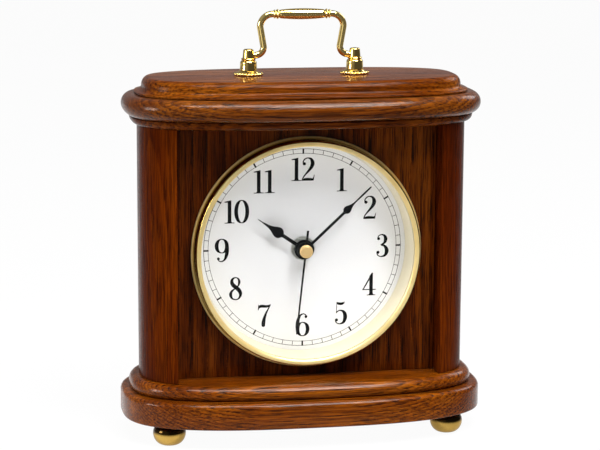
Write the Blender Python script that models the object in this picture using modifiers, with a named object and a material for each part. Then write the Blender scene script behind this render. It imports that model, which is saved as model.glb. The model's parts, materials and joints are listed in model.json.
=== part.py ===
"""Wooden table clock with a folding brass handle, built as separate pieces.

Frame: metres, +Z up, the front faces -Y, and the origin is under the middle of the feet.
Pieces of the clock insert and of the movement are modelled lying flat and then stood up by FACE_FRONT,
so their local +Z points at the viewer and their local X and Y are the viewer's right and up.
"""

import math

import bmesh
import bpy

# Gaps and fits
SEAM = 0.0003  # between pieces that are glued, screwed or rested together
FIT = 0.0001  # round a shaft in its bore
OVERRUN = 0.002  # how far a cutter runs past what it cuts
BITE = 0.0002  # how far two shapes of one piece run into each other
WELD = 0.000001

# Case boards, from the bottom up. The outlines are ovals.
OVAL_POWER = 2.8
OUTLINE_POINTS = 40
FOOT_HEIGHT = 0.0117
FOOT_RADIUS = 0.0097
FOOT_FLAT_RADIUS = 0.0035
FOOT_NECK_RADIUS = 0.0062
FOOT_STUD_RADIUS = 0.002
FOOT_STUD_LENGTH = 0.009
FOOT_FROM_END = 0.0240  # from the plinth's end and side to the middle of a foot
FOOT_FROM_SIDE = 0.0245
PLINTH_HALF_WIDTH = 0.1055
PLINTH_HALF_DEPTH = 0.0535
PLINTH_THICKNESS = 0.015
PLINTH_EDGE_RADIUS = 0.0012
BASE_MOULDING_THICKNESS = 0.0078
BASE_MOULDING_PROUD = 0.0058  # past the end posts
BASE_MOULDING_FOOT_INSET = 0.0016
BODY_HALF_WIDTH = 0.0949
BODY_HALF_DEPTH = 0.0410
BODY_HEIGHT = 0.1456
CORNICE_MOULDING_THICKNESS = 0.0046
CORNICE_MOULDING_PROUD = 0.0043
CORNICE_ROUND_SHARE = 0.86  # of its thickness, under a short upright edge
CORNICE_HALF_WIDTH = 0.1040
CORNICE_HALF_DEPTH = 0.0515
CORNICE_THICKNESS = 0.0122
TOP_STEP_HALF_WIDTH = 0.0963
TOP_STEP_HALF_DEPTH = 0.0438
TOP_STEP_THICKNESS = 0.0012
TOP_COVE_WIDTH = 0.0042
TOP_COVE_HEIGHT = 0.0026
TOP_ROUND_RADIUS = 0.0045
TOP_ROUND_HEIGHT = 0.0052

# End posts and panels
POST_WIDTH = 0.0190  # from the body's end to the panel
POST_CORNER_RADIUS = 0.0008
REBATE_WIDTH = 0.005
BACK_SHOULDER_DEPTH = 0.0205  # from the body's back to the face that the back panel rests on
BACK_PANEL_THICKNESS = 0.004
BACK_HOLE_RADIUS = 0.045
FRONT_PANEL_SET_BACK = 0.0230  # behind the front of the body's oval
FRONT_PANEL_THICKNESS = 0.0128
BACK_SCREW_HEAD_RADIUS = 0.0024
BACK_SCREW_HEAD_HEIGHT = 0.0012
BACK_SCREW_SHANK_RADIUS = 0.0011
BACK_SCREW_LENGTH = 0.010
BACK_SCREW_END_MARGIN = 0.020

# Clock insert. Its depths are measured forwards from the face of the dial.
DIAL_CENTRE_SHARE = 0.494  # of the body's height
DIAL_BEHIND_FACE = 0.0118
DIAL_THICKNESS = 0.001
BORE_TOP_MARGIN = 0.0051  # of wood between the bore and the panel's top and bottom, at least
BORE_SIDE_MARGIN = 0.0112  # and its sides
SKIRT_THICKNESS = 0.0008
BEZEL_LAP = 0.0026  # over the panel, past the bore
BEZEL_HEIGHT = 0.0085
BEZEL_RIM_HEIGHT = 0.0014
BEZEL_NOSE_RADIUS = 0.0009
LIP_INSET = 0.0025  # inside the bore
LIP_THICKNESS = 0.0013
GLASS_THICKNESS = 0.0018
REFLECTOR_FRONT_INSET = 0.0027  # inside the bore
REFLECTOR_REAR_INSET = 0.0041
ROUND_STEPS = 40
CLIP_WIDTH = 0.008
CLIP_THICKNESS = 0.0008
CLIP_REACH = 0.003  # over the dial's rim
CLIP_TAIL = 0.0068  # outwards from the bore
CLIP_ANGLES_DEG = (0, 120, 240)
CLIP_SCREW_RADIUS = 0.001
CLIP_SCREW_HEAD_RADIUS = 0.0021
CLIP_SCREW_HEAD_HEIGHT = 0.0011
CLIP_SCREW_LENGTH = 0.007

# Hands. Depths are from the face of the dial to the back of each blade.
HAND_THICKNESS = 0.0005
HOUR_DEPTH = 0.0046
MINUTE_DEPTH = 0.0069
SECOND_DEPTH = 0.0092
HOUR_LENGTH_SHARE = 0.541  # of the visible dial's radius
HOUR_BULB_SHARE = 0.573  # of its own length
HOUR_BULB_WIDTH = 0.0066
HOUR_ARM_WIDTH = 0.0021
HOUR_HUB_RADIUS = 0.0058
MINUTE_LENGTH_SHARE = 0.873
MINUTE_BULB_SHARE = 0.639
MINUTE_BULB_WIDTH = 0.0045
MINUTE_ARM_WIDTH = 0.0016
MINUTE_HUB_RADIUS = 0.0047
SECOND_LENGTH_SHARE = 0.813
SECOND_TAIL_SHARE = 0.195
SECOND_WIDTH = 0.0013
SECOND_TIP_WIDTH = 0.0008
SECOND_HUB_RADIUS = 0.0021
HUB_HEIGHT = 0.0013
CAP_RADIUS = 0.0038
CAP_HEIGHT = 0.0025
HOUR_ANGLE_DEG = 304.2  # clockwise from twelve: ten hours, eight and a half minutes
MINUTE_ANGLE_DEG = 47.0
SECOND_ANGLE_DEG = 186.0

# Movement. Depths are measured backwards from the front of its case.
CASE_SIDE = 0.056
CASE_DEPTH = 0.016
CASE_WALL = 0.0012
CASE_CORNER_RADIUS = 0.0025
COVER_THICKNESS = 0.0012
BUSH_RADIUS = 0.0040
BUSH_BORE_RADIUS = 0.0027
BUSH_PROUD = 0.0030  # in front of the dial
NUT_RADIUS = 0.0063
NUT_HEIGHT = 0.0022
WASHER_RADIUS = 0.0070
WASHER_THICKNESS = 0.0004
HOUR_PIPE_RADIUS = 0.0024
HOUR_PIPE_BORE_RADIUS = 0.0018
CANNON_RADIUS = 0.0015
CANNON_BORE_RADIUS = 0.00085
SECOND_ARBOR_RADIUS = 0.00055
WHEEL_THICKNESS = 0.0009
PINION_HEIGHT = 0.0014
PIVOT_RADIUS = 0.0004
MIDDLE_PLATE_DEPTH = 0.0049
MIDDLE_PLATE_THICKNESS = 0.0008
HOUR_LAYER = 0.0016
MINUTE_LAYER = 0.0033
CENTRE_LAYER = 0.0061
THIRD_LAYER = 0.0078
SECOND_LAYER = 0.0095
FIFTH_LAYER = 0.0110
ROTOR_MAGNET_RADIUS = 0.0026
ROTOR_MAGNET_HEIGHT = 0.0018
STATOR_THICKNESS = 0.0010
COIL_RADIUS = 0.0035
COIL_LENGTH = 0.020
COIL_CHEEK_THICKNESS = 0.0010
BOARD_THICKNESS = 0.0008
KNOB_RADIUS = 0.006
KNOB_HEIGHT = 0.0022
KNOB_GRIPS = 16
BATTERY_RADIUS = 0.00725
BATTERY_LENGTH = 0.0492
BATTERY_TIP_RADIUS = 0.00275
BATTERY_TIP_LENGTH = 0.0013
BATTERY_BELOW = 0.0190  # its axis below the hands' axis
CONTACT_THICKNESS = 0.0005
CONTACT_WIDTH = 0.009

# Gear teeth, as shares of the module or of one tooth's pitch
WHEEL_ADDENDUM_SHARE = 0.80
PINION_ADDENDUM_SHARE = 0.70
DEDENDUM_SHARE = 1.35
WHEEL_TIP_SHARE = 0.05
LEAF_TIP_SHARE = 0.03

CANNON_TEETH, MINUTE_WHEEL_TEETH = 8, 24
MINUTE_PINION_TEETH, HOUR_WHEEL_TEETH = 7, 28
SETTING_TEETH = 10
SECOND_PINION_TEETH, THIRD_WHEEL_TEETH = 6, 45
THIRD_PINION_TEETH, CENTRE_WHEEL_TEETH = 6, 48
SECOND_WHEEL_TEETH, FIFTH_PINION_TEETH = 36, 6
FIFTH_WHEEL_TEETH, ROTOR_TEETH = 30, 6
MOTION_MODULE = 0.0006
TRAIN_MODULE = 0.00048
FIFTH_MODULE = 0.00045
ROTOR_MODULE = 0.0004
MINUTE_WHEEL_DIRECTION_DEG = 180
SETTING_DIRECTION_DEG = 135
THIRD_DIRECTION_DEG = 40
FIFTH_DIRECTION_DEG = 160
ROTOR_DIRECTION_DEG = 95

# Handle
HANDLE_HALF_SPAN = 0.031
FLANGE_RADIUS = 0.0085
FLANGE_HEIGHT = 0.0024
FLANGE_PLATE_SHARE = 0.45  # of the flange's height, up to its scalloped edge
FLANGE_LOBES = 12
FLANGE_LOBE_DEPTH = 0.0006
HANDLE_POST_HEIGHT = 0.0120
COLLAR_RADIUS = 0.0050
COLLAR_HEIGHT = 0.0060
POST_RADIUS = 0.0034
POST_TOP_RADIUS = 0.0030
PIVOT_BELOW_TOP = 0.0036
BAIL_RADIUS = 0.0019
BAIL_PIN_RADIUS = 0.0014
BAIL_RISE = 0.0233
BAIL_HALF_WIDTH = 0.0242
BAIL_LEG_FOOT_X = 0.0222
BAIL_TOP_BEND = 0.0072
BAIL_FOOT_BEND = 0.0046
GRIP_HALF_LENGTH = 0.0135
GRIP_RADIUS = 0.0032
GRIP_END_RADIUS = 0.0024
GRIP_COLLAR_RADIUS = 0.0029
GRIP_COLLAR_WIDTH = 0.0012
PIN_DEPTH_SHARE = 0.55  # of the handle post's radius, past its axis
HANDLE_SCREW_RADIUS = 0.0016
HANDLE_SCREW_HEAD_RADIUS = 0.0035
HANDLE_SCREW_HEAD_HEIGHT = 0.0022
HANDLE_SCREW_BITE = 0.0050  # how far it goes into the post

# Places that follow from the sizes above
PLINTH_BOTTOM = FOOT_HEIGHT + SEAM
FOOT_SPREAD_X = PLINTH_HALF_WIDTH - FOOT_FROM_END
FOOT_SPREAD_Y = PLINTH_HALF_DEPTH - FOOT_FROM_SIDE
MOULDING_BOTTOM = PLINTH_BOTTOM + PLINTH_THICKNESS + SEAM
BODY_BOTTOM = MOULDING_BOTTOM + BASE_MOULDING_THICKNESS + SEAM
BODY_TOP = BODY_BOTTOM + BODY_HEIGHT
CORNICE_MOULDING_BOTTOM = BODY_TOP + SEAM
CORNICE_BOTTOM = CORNICE_MOULDING_BOTTOM + CORNICE_MOULDING_THICKNESS + SEAM
TOP_BOTTOM = CORNICE_BOTTOM + CORNICE_THICKNESS + SEAM
TOP_THICKNESS = TOP_STEP_THICKNESS + TOP_COVE_HEIGHT + TOP_ROUND_HEIGHT
TOP_FACE = TOP_BOTTOM + TOP_THICKNESS
FLANGE_BOTTOM = TOP_FACE + SEAM
HANDLE_POST_BOTTOM = FLANGE_BOTTOM + FLANGE_HEIGHT + SEAM
PIVOT_Z = HANDLE_POST_BOTTOM + HANDLE_POST_HEIGHT - PIVOT_BELOW_TOP
DIAL_Z = BODY_BOTTOM + BODY_HEIGHT * DIAL_CENTRE_SHARE
POST_INNER_X = BODY_HALF_WIDTH - POST_WIDTH
BACK_SHOULDER_Y = BODY_HALF_DEPTH - BACK_SHOULDER_DEPTH
FRONT_PANEL_FACE_Y = FRONT_PANEL_SET_BACK - BODY_HALF_DEPTH
DIAL_Y = FRONT_PANEL_FACE_Y + DIAL_BEHIND_FACE
DIAL_BACK_Y = DIAL_Y + DIAL_THICKNESS
PANEL_BACK_Y = FRONT_PANEL_FACE_Y + FRONT_PANEL_THICKNESS
MOVEMENT_Y = DIAL_BACK_Y + SEAM
BORE_RADIUS = min(
    BODY_TOP - DIAL_Z - BORE_TOP_MARGIN,
    DIAL_Z - BODY_BOTTOM - BORE_TOP_MARGIN,
    POST_INNER_X - BORE_SIDE_MARGIN,
)
BEZEL_OUTER_RADIUS = BORE_RADIUS + BEZEL_LAP
LIP_RADIUS = BORE_RADIUS - LIP_INSET
REFLECTOR_FRONT_RADIUS = BORE_RADIUS - REFLECTOR_FRONT_INSET
REFLECTOR_REAR_RADIUS = BORE_RADIUS - REFLECTOR_REAR_INSET
SKIRT_RADIUS = BORE_RADIUS - SEAM
SKIRT_INNER_RADIUS = SKIRT_RADIUS - SKIRT_THICKNESS
DROP_IN_RADIUS = SKIRT_INNER_RADIUS - SEAM
HOUR_LENGTH = HOUR_LENGTH_SHARE * REFLECTOR_REAR_RADIUS
HOUR_BULB_AT = HOUR_BULB_SHARE * HOUR_LENGTH
MINUTE_LENGTH = MINUTE_LENGTH_SHARE * REFLECTOR_REAR_RADIUS
MINUTE_BULB_AT = MINUTE_BULB_SHARE * MINUTE_LENGTH
SECOND_LENGTH = SECOND_LENGTH_SHARE * REFLECTOR_REAR_RADIUS
SECOND_TAIL = SECOND_TAIL_SHARE * REFLECTOR_REAR_RADIUS
PANEL_DEPTH = DIAL_BEHIND_FACE  # the panel's face, as a depth in front of the dial
GLASS_FRONT_DEPTH = PANEL_DEPTH + BEZEL_HEIGHT - LIP_THICKNESS - SEAM
GLASS_REAR_DEPTH = GLASS_FRONT_DEPTH - GLASS_THICKNESS
TRAIN_DISTANCE = TRAIN_MODULE * (SECOND_PINION_TEETH + THIRD_WHEEL_TEETH) / 2
CENTRE_MODULE = 2 * TRAIN_DISTANCE / (THIRD_PINION_TEETH + CENTRE_WHEEL_TEETH)
MOTION_DISTANCE = MOTION_MODULE * (CANNON_TEETH + MINUTE_WHEEL_TEETH) / 2
HOUR_MODULE = 2 * MOTION_DISTANCE / (MINUTE_PINION_TEETH + HOUR_WHEEL_TEETH)
SETTING_DISTANCE = MOTION_MODULE * (MINUTE_WHEEL_TEETH + SETTING_TEETH) / 2
FIFTH_DISTANCE = FIFTH_MODULE * (SECOND_WHEEL_TEETH + FIFTH_PINION_TEETH) / 2
ROTOR_DISTANCE = ROTOR_MODULE * (FIFTH_WHEEL_TEETH + ROTOR_TEETH) / 2
FACE_FRONT = (math.pi / 2, 0, 0)
FULL_TURN = 2 * math.pi


def clear_scene():
    for thing in list(bpy.data.objects):
        bpy.data.objects.remove(thing, do_unlink=True)


def new_collection(name):
    made = bpy.data.collections.new(name)
    bpy.context.scene.collection.children.link(made)
    return made


clear_scene()
PARTS = new_collection("table_clock")
CUTTERS = new_collection("cutters")


def finish(name, colour, roughness, metallic=0.0, alpha=1.0):
    """A Principled material in the piece's own colour."""
    made = bpy.data.materials.new(name)
    made.use_nodes = True
    shader = made.node_tree.nodes["Principled BSDF"]
    shader.inputs["Base Color"].default_value = (*colour, 1.0)
    shader.inputs["Roughness"].default_value = roughness
    shader.inputs["Metallic"].default_value = metallic
    shader.inputs["Alpha"].default_value = alpha
    return made


WOOD = finish("stained_wood", (0.19, 0.065, 0.022), 0.35)
PANEL_WOOD = finish("dark_stained_wood", (0.11, 0.032, 0.012), 0.4)
PLY = finish("plywood", (0.30, 0.17, 0.08), 0.6)
BRASS = finish("polished_brass", (0.86, 0.62, 0.22), 0.15, 1.0)
STEEL = finish("steel", (0.55, 0.55, 0.55), 0.35, 1.0)
GLASS = finish("glass", (0.95, 0.97, 0.96), 0.02, 0.0, 0.2)
CREAM = finish("cream_lacquer", (0.86, 0.80, 0.66), 0.4)
DIAL_WHITE = finish("dial_white", (0.85, 0.86, 0.88), 0.5)
BLACK = finish("black_lacquer", (0.01, 0.01, 0.012), 0.35)
CASE_PLASTIC = finish("black_plastic", (0.02, 0.02, 0.022), 0.5)
GEAR_PLASTIC = finish("gear_plastic", (0.80, 0.78, 0.72), 0.5)
COPPER = finish("coil_copper", (0.65, 0.28, 0.12), 0.35, 1.0)
GREEN = finish("circuit_green", (0.02, 0.16, 0.07), 0.5)
BATTERY_JACKET = finish("battery_jacket", (0.08, 0.09, 0.12), 0.3)


def own(finish_used, piece):
    """Gives the piece its own copy of a finish."""
    copy = finish_used.copy()
    copy.name = piece.name + "_finish"
    piece.data.materials.clear()
    piece.data.materials.append(copy)


def shade(piece, angle_deg=35):
    piece.data.shade_smooth()
    piece.data.set_sharp_from_angle(angle=math.radians(angle_deg))


def keep(piece, finish_used, smooth=True):
    """Puts a finished shape among the parts."""
    PARTS.objects.link(piece)
    own(finish_used, piece)
    if smooth:
        shade(piece)
    return piece


def helper(piece):
    """Puts a shape among the cutters, out of the render."""
    CUTTERS.objects.link(piece)
    piece.hide_render = True
    piece.display_type = "WIRE"
    return piece


def boolean(target, other, operation):
    helper(other)
    step = target.modifiers.new(other.name, "BOOLEAN")
    step.operation = operation
    step.solver = "EXACT"
    step.object = other


def cut(target, *others):
    for other in others:
        boolean(target, other, "DIFFERENCE")


def join(target, *others):
    for other in others:
        boolean(target, other, "UNION")


def cut_again(target, cutter):
    """Cuts with a cutter that already serves another piece."""
    step = target.modifiers.new(cutter.name, "BOOLEAN")
    step.operation = "DIFFERENCE"
    step.solver = "EXACT"
    step.object = cutter


def object_from(bm, name, location=(0, 0, 0), rotation=(0, 0, 0)):
    mesh = bpy.data.meshes.new(name)
    bm.to_mesh(mesh)
    bm.free()
    made = bpy.data.objects.new(name, mesh)
    made.location = location
    made.rotation_euler = rotation
    return made


def loft(name, rings, location=(0, 0, 0), rotation=(0, 0, 0)):
    """A closed solid through rings that all have the same number of points."""
    bm = bmesh.new()
    rows = [[bm.verts.new(point) for point in ring] for ring in rings]
    count = len(rows[0])
    for lower, upper in zip(rows, rows[1:]):
        for i in range(count):
            j = (i + 1) % count
            bm.faces.new((lower[i], lower[j], upper[j], upper[i]))
    bm.faces.new(rows[0][::-1])
    bm.faces.new(rows[-1])
    bmesh.ops.recalc_face_normals(bm, faces=bm.faces[:])
    return object_from(bm, name, location, rotation)


def solid_curve(drawn):
    """The closed mesh of a curve object, with its caps welded on. The curve is removed."""
    CUTTERS.objects.link(drawn)
    bpy.context.view_layer.update()
    evaluated = drawn.evaluated_get(bpy.context.evaluated_depsgraph_get())
    bm = bmesh.new()
    mesh = bpy.data.meshes.new_from_object(evaluated)
    bm.from_mesh(mesh)
    bpy.data.meshes.remove(mesh)
    bpy.data.objects.remove(drawn, do_unlink=True)
    bmesh.ops.remove_doubles(bm, verts=bm.verts[:], dist=WELD)
    bmesh.ops.recalc_face_normals(bm, faces=bm.faces[:])
    bmesh.ops.dissolve_limit(
        bm, angle_limit=math.radians(1), verts=bm.verts[:], edges=bm.edges[:], delimit={"NORMAL"}
    )
    return bm


def plate(name, outline, low, high, location=(0, 0, 0), rotation=(0, 0, 0)):
    """A flat outline, filled and extruded from one local height to the other."""
    curve = bpy.data.curves.new(name + "_outline", "CURVE")
    curve.dimensions = "2D"
    curve.fill_mode = "BOTH"
    curve.extrude = (high - low) / 2
    spline = curve.splines.new("POLY")
    spline.points.add(len(outline) - 1)
    for point, (x, y) in zip(spline.points, outline):
        point.co = (x, y, 0, 1)
    spline.use_cyclic_u = True
    bm = solid_curve(bpy.data.objects.new(name + "_outline", curve))
    bmesh.ops.translate(bm, verts=bm.verts[:], vec=(0, 0, (low + high) / 2))
    return object_from(bm, name, location, rotation)


def cylinder(name, radius, low, high, location=(0, 0, 0), rotation=(0, 0, 0), steps=20):
    bm = bmesh.new()
    bmesh.ops.create_cone(
        bm, cap_ends=True, segments=steps, radius1=radius, radius2=radius, depth=high - low
    )
    bmesh.ops.translate(bm, verts=bm.verts[:], vec=(0, 0, (low + high) / 2))
    return object_from(bm, name, location, rotation)


def block(name, low, high, location=(0, 0, 0), rotation=(0, 0, 0)):
    bm = bmesh.new()
    bmesh.ops.create_cube(bm, size=1)
    size = [b - a for a, b in zip(low, high)]
    bmesh.ops.scale(bm, verts=bm.verts[:], vec=size)
    bmesh.ops.translate(bm, verts=bm.verts[:], vec=[(a + b) / 2 for a, b in zip(low, high)])
    return object_from(bm, name, location, rotation)


def turned(name, profile, location=(0, 0, 0), rotation=(0, 0, 0), steps=24):
    """Turns a profile of (radius, height) about local Z. It runs down the outer side.
    A profile that ends on the axis makes a solid, and any other is closed into a ring."""
    bm = bmesh.new()
    points = [bm.verts.new((radius, 0, height)) for radius, height in profile]
    for a, b in zip(points, points[1:]):
        bm.edges.new((a, b))
    if profile[0][0] > 0:
        bm.edges.new((points[-1], points[0]))
    made = object_from(bm, name, location, rotation)
    screw = made.modifiers.new("turn", "SCREW")
    screw.steps = steps
    screw.render_steps = steps
    screw.use_merge_vertices = True
    screw.merge_threshold = 0.00001
    screw.use_smooth_shade = True
    return made


def arc(centre, radius, start_deg, end_deg, steps):
    """Points (x, y) along an arc, ends included."""
    turns = [math.radians(start_deg + (end_deg - start_deg) * i / steps) for i in range(steps + 1)]
    return [(centre[0] + radius * math.cos(t), centre[1] + radius * math.sin(t)) for t in turns]


def oval(half_width, half_depth, outset=0.0, points=OUTLINE_POINTS):
    """The plan outline shared by the boards, moved outwards by outset along its own normals."""
    found = []
    for i in range(points):
        t = FULL_TURN * i / points
        c, s = math.cos(t), math.sin(t)
        x = math.copysign(abs(c) ** (2 / OVAL_POWER), c) * half_width
        y = math.copysign(abs(s) ** (2 / OVAL_POWER), s) * half_depth
        nx = math.copysign(abs(x / half_width) ** (OVAL_POWER - 1), x) / half_width
        ny = math.copysign(abs(y / half_depth) ** (OVAL_POWER - 1), y) / half_depth
        length = math.hypot(nx, ny)
        found.append((x + outset * nx / length, y + outset * ny / length))
    return found


def board(name, half_width, half_depth, bottom, profile, finish_used):
    """A moulded board: each (inset, height) of the profile is one ring of the outline."""
    rings = []
    for inset, height in profile:
        rings.append([(x, y, height) for x, y in oval(half_width, half_depth, -inset)])
    return keep(loft(name, rings, location=(0, 0, bottom)), finish_used)


def oval_y(half_width, half_depth, x):
    return half_depth * (1 - (x / half_width) ** OVAL_POWER) ** (1 / OVAL_POWER)


# Case

def make_feet():
    """Four squashed brass balls, each with a stud that goes up into the plinth."""
    half = FOOT_HEIGHT / 2
    side = []
    steps = 5
    for i in range(steps + 1):
        t = math.pi * (0.5 - i / steps)
        edge = FOOT_NECK_RADIUS if t > 0 else FOOT_FLAT_RADIUS
        side.append((edge + (FOOT_RADIUS - edge) * math.cos(t), half + half * math.sin(t)))
    stud_top = FOOT_HEIGHT + FOOT_STUD_LENGTH
    profile = [(0, stud_top), (FOOT_STUD_RADIUS, stud_top), (FOOT_STUD_RADIUS, FOOT_HEIGHT)]
    profile += side + [(0, 0)]
    holes = []
    for across, x in (("left", -FOOT_SPREAD_X), ("right", FOOT_SPREAD_X)):
        for along, y in (("front", -FOOT_SPREAD_Y), ("rear", FOOT_SPREAD_Y)):
            name = f"foot_{along}_{across}"
            keep(turned(name, profile, location=(x, y, 0), steps=15), BRASS)
            holes.append(
                cylinder(
                    name + "_hole", FOOT_STUD_RADIUS + SEAM, PLINTH_BOTTOM - OVERRUN,
                    stud_top + SEAM, location=(x, y, 0), steps=12,
                )
            )
    return holes


def make_plinth(stud_holes):
    r = PLINTH_EDGE_RADIUS
    top = PLINTH_THICKNESS
    profile = [(r, 0), (0, r), (0, top - r)]
    profile += [(r - x, top - r + z) for x, z in arc((0, 0), r, 0, 90, 2)[1:]]
    plinth = board("base_plinth", PLINTH_HALF_WIDTH, PLINTH_HALF_DEPTH, PLINTH_BOTTOM, profile, WOOD)
    cut(plinth, *stud_holes)


def make_base_moulding():
    """A bead with its nose low, and a flat top that the end posts stand on."""
    height = BASE_MOULDING_THICKNESS
    nose = height / 3
    foot = BASE_MOULDING_FOOT_INSET
    profile = [(foot, 0), (foot / 4, nose / 2)]
    rise = height - nose
    profile += [
        (rise * (1 - math.cos(t)), nose + rise * math.sin(t))
        for t in (math.radians(a) for a in (0, 35, 64, 90))
    ]
    board(
        "base_moulding", BODY_HALF_WIDTH + BASE_MOULDING_PROUD, BODY_HALF_DEPTH + BASE_MOULDING_PROUD,
        MOULDING_BOTTOM, profile, WOOD,
    )


def make_cornice():
    """The moulding under the cornice, the half-round board and the moulded top, from the bottom up."""
    drop = CORNICE_MOULDING_THICKNESS
    proud = CORNICE_MOULDING_PROUD
    profile = [
        (proud * (1 - math.sin(t)), drop * CORNICE_ROUND_SHARE * (1 - math.cos(t)))
        for t in (math.radians(a) for a in (0, 25, 48, 70, 90))
    ]
    profile.append((0, drop))
    moulding = board(
        "cornice_moulding", BODY_HALF_WIDTH + proud, BODY_HALF_DEPTH + proud,
        CORNICE_MOULDING_BOTTOM, profile, WOOD,
    )
    r = CORNICE_THICKNESS / 2
    profile = [(r - x, r + z) for x, z in arc((0, 0), r, -90, 90, 5)]
    half_round = board(
        "cornice_board", CORNICE_HALF_WIDTH, CORNICE_HALF_DEPTH, CORNICE_BOTTOM, profile, WOOD
    )
    step, cove = TOP_STEP_THICKNESS, TOP_COVE_HEIGHT
    profile = [(0, 0), (0, step)]
    profile += [
        (TOP_COVE_WIDTH * math.sin(t), step + cove * (1 - math.cos(t)))
        for t in (math.radians(a) for a in (45, 90))
    ]
    profile += [
        (TOP_COVE_WIDTH + TOP_ROUND_RADIUS * (1 - math.cos(t)), step + cove + TOP_ROUND_HEIGHT * math.sin(t))
        for t in (math.radians(a) for a in (30, 60, 90))
    ]
    top = board("top_board", TOP_STEP_HALF_WIDTH, TOP_STEP_HALF_DEPTH, TOP_BOTTOM, profile, WOOD)
    return moulding, half_round, top


def post_outline():
    """The right end post in plan: a slice off the oval's end, rebated behind for the back panel."""
    front_y = -oval_y(BODY_HALF_WIDTH, BODY_HALF_DEPTH, POST_INNER_X)
    rebate_x = POST_INNER_X + REBATE_WIDTH
    rear_y = oval_y(BODY_HALF_WIDTH, BODY_HALF_DEPTH, rebate_x)
    rounding = POST_CORNER_RADIUS
    outline = [(POST_INNER_X, BACK_SHOULDER_Y), (POST_INNER_X, front_y + 2 * rounding)]
    outline.append((POST_INNER_X + rounding / 3, front_y + rounding))
    outer = [
        (x, y) for x, y in oval(BODY_HALF_WIDTH, BODY_HALF_DEPTH, points=4 * OUTLINE_POINTS)
        if x > POST_INNER_X + rounding and y < rear_y and (y < 0 or x > rebate_x)
    ]
    outer.sort(key=lambda point: point[1])
    outline += outer[::2] + [(rebate_x, rear_y), (rebate_x, BACK_SHOULDER_Y)]
    return outline


def make_end_posts():
    outline = post_outline()
    keep(plate("end_post_right", outline, BODY_BOTTOM, BODY_TOP), WOOD)
    mirrored = [(-x, y) for x, y in outline]
    keep(plate("end_post_left", mirrored, BODY_BOTTOM, BODY_TOP), WOOD)


def make_panels():
    """The flat front panel with the bore for the insert, and the screwed back with its hand hole."""
    half = POST_INNER_X - SEAM
    low, high = BODY_BOTTOM, BODY_TOP
    front = keep(block("front_panel", (-half, FRONT_PANEL_FACE_Y, low), (half, PANEL_BACK_Y, high)), PANEL_WOOD)
    at = (0, 0, DIAL_Z)
    cut(front, cylinder(
        "insert_bore", BORE_RADIUS, -PANEL_BACK_Y - OVERRUN, -FRONT_PANEL_FACE_Y + OVERRUN,
        at, FACE_FRONT, ROUND_STEPS,
    ))
    inner_y = BACK_SHOULDER_Y + SEAM
    outer_y = inner_y + BACK_PANEL_THICKNESS
    half += REBATE_WIDTH
    back = keep(block("back_panel", (-half, inner_y, low), (half, outer_y, high)), PLY)
    cut(back, cylinder(
        "hand_hole", BACK_HOLE_RADIUS, -outer_y - OVERRUN, -inner_y + OVERRUN, at, FACE_FRONT, 48
    ))
    across = POST_INNER_X + REBATE_WIDTH / 2
    head = BACK_SCREW_HEAD_HEIGHT
    profile = [
        (0, head), (BACK_SCREW_HEAD_RADIUS / 2, head), (BACK_SCREW_HEAD_RADIUS, 0),
        (BACK_SCREW_SHANK_RADIUS, 0), (BACK_SCREW_SHANK_RADIUS, -BACK_SCREW_LENGTH), (0, -BACK_SCREW_LENGTH),
    ]
    posts = {"left": bpy.data.objects["end_post_left"], "right": bpy.data.objects["end_post_right"]}
    for side, x in (("left", -across), ("right", across)):
        for level, z in (("lower", low + BACK_SCREW_END_MARGIN), ("upper", high - BACK_SCREW_END_MARGIN)):
            name = f"back_screw_{level}_{side}"
            spot = (x, outer_y + SEAM, z)
            keep(turned(name, profile, spot, (-math.pi / 2, 0, 0), steps=8), STEEL)
            hole = cylinder(
                name + "_hole", BACK_SCREW_SHANK_RADIUS + FIT, -BACK_SCREW_LENGTH - SEAM, OVERRUN,
                spot, (-math.pi / 2, 0, 0), 12,
            )
            cut(back, hole)
            cut_again(posts[side], hole)


# Clock insert

def make_bezel():
    """One spun ring: rim on the panel, swept side, rolled lip, and a skirt down the bore."""
    panel = PANEL_DEPTH
    top = panel + BEZEL_HEIGHT
    seat = GLASS_FRONT_DEPTH + SEAM
    nose = BEZEL_NOSE_RADIUS
    rim = panel + SEAM
    shoulder = LIP_RADIUS + 2 * nose
    profile = [(LIP_RADIUS, top - nose)]
    profile += arc((LIP_RADIUS + nose, top - nose), nose, 120, 30, 2)
    swell = BEZEL_OUTER_RADIUS - nose / 2 - shoulder
    fall = BEZEL_HEIGHT - nose - BEZEL_RIM_HEIGHT
    for degrees in (25, 55):
        t = math.radians(degrees)
        profile.append((shoulder + swell * (1 - math.cos(t)), top - nose - fall * math.sin(t)))
    profile += [
        (BEZEL_OUTER_RADIUS - nose / 2, rim + BEZEL_RIM_HEIGHT),
        (BEZEL_OUTER_RADIUS, rim),
        (SKIRT_RADIUS, rim),
        (SKIRT_RADIUS, -DIAL_THICKNESS),
        (SKIRT_INNER_RADIUS, -DIAL_THICKNESS),
        (SKIRT_INNER_RADIUS, seat),
        (LIP_RADIUS, seat),
    ]
    at = (0, DIAL_Y, DIAL_Z)
    keep(turned("bezel_ring", profile, at, FACE_FRONT, ROUND_STEPS), BRASS)


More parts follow.
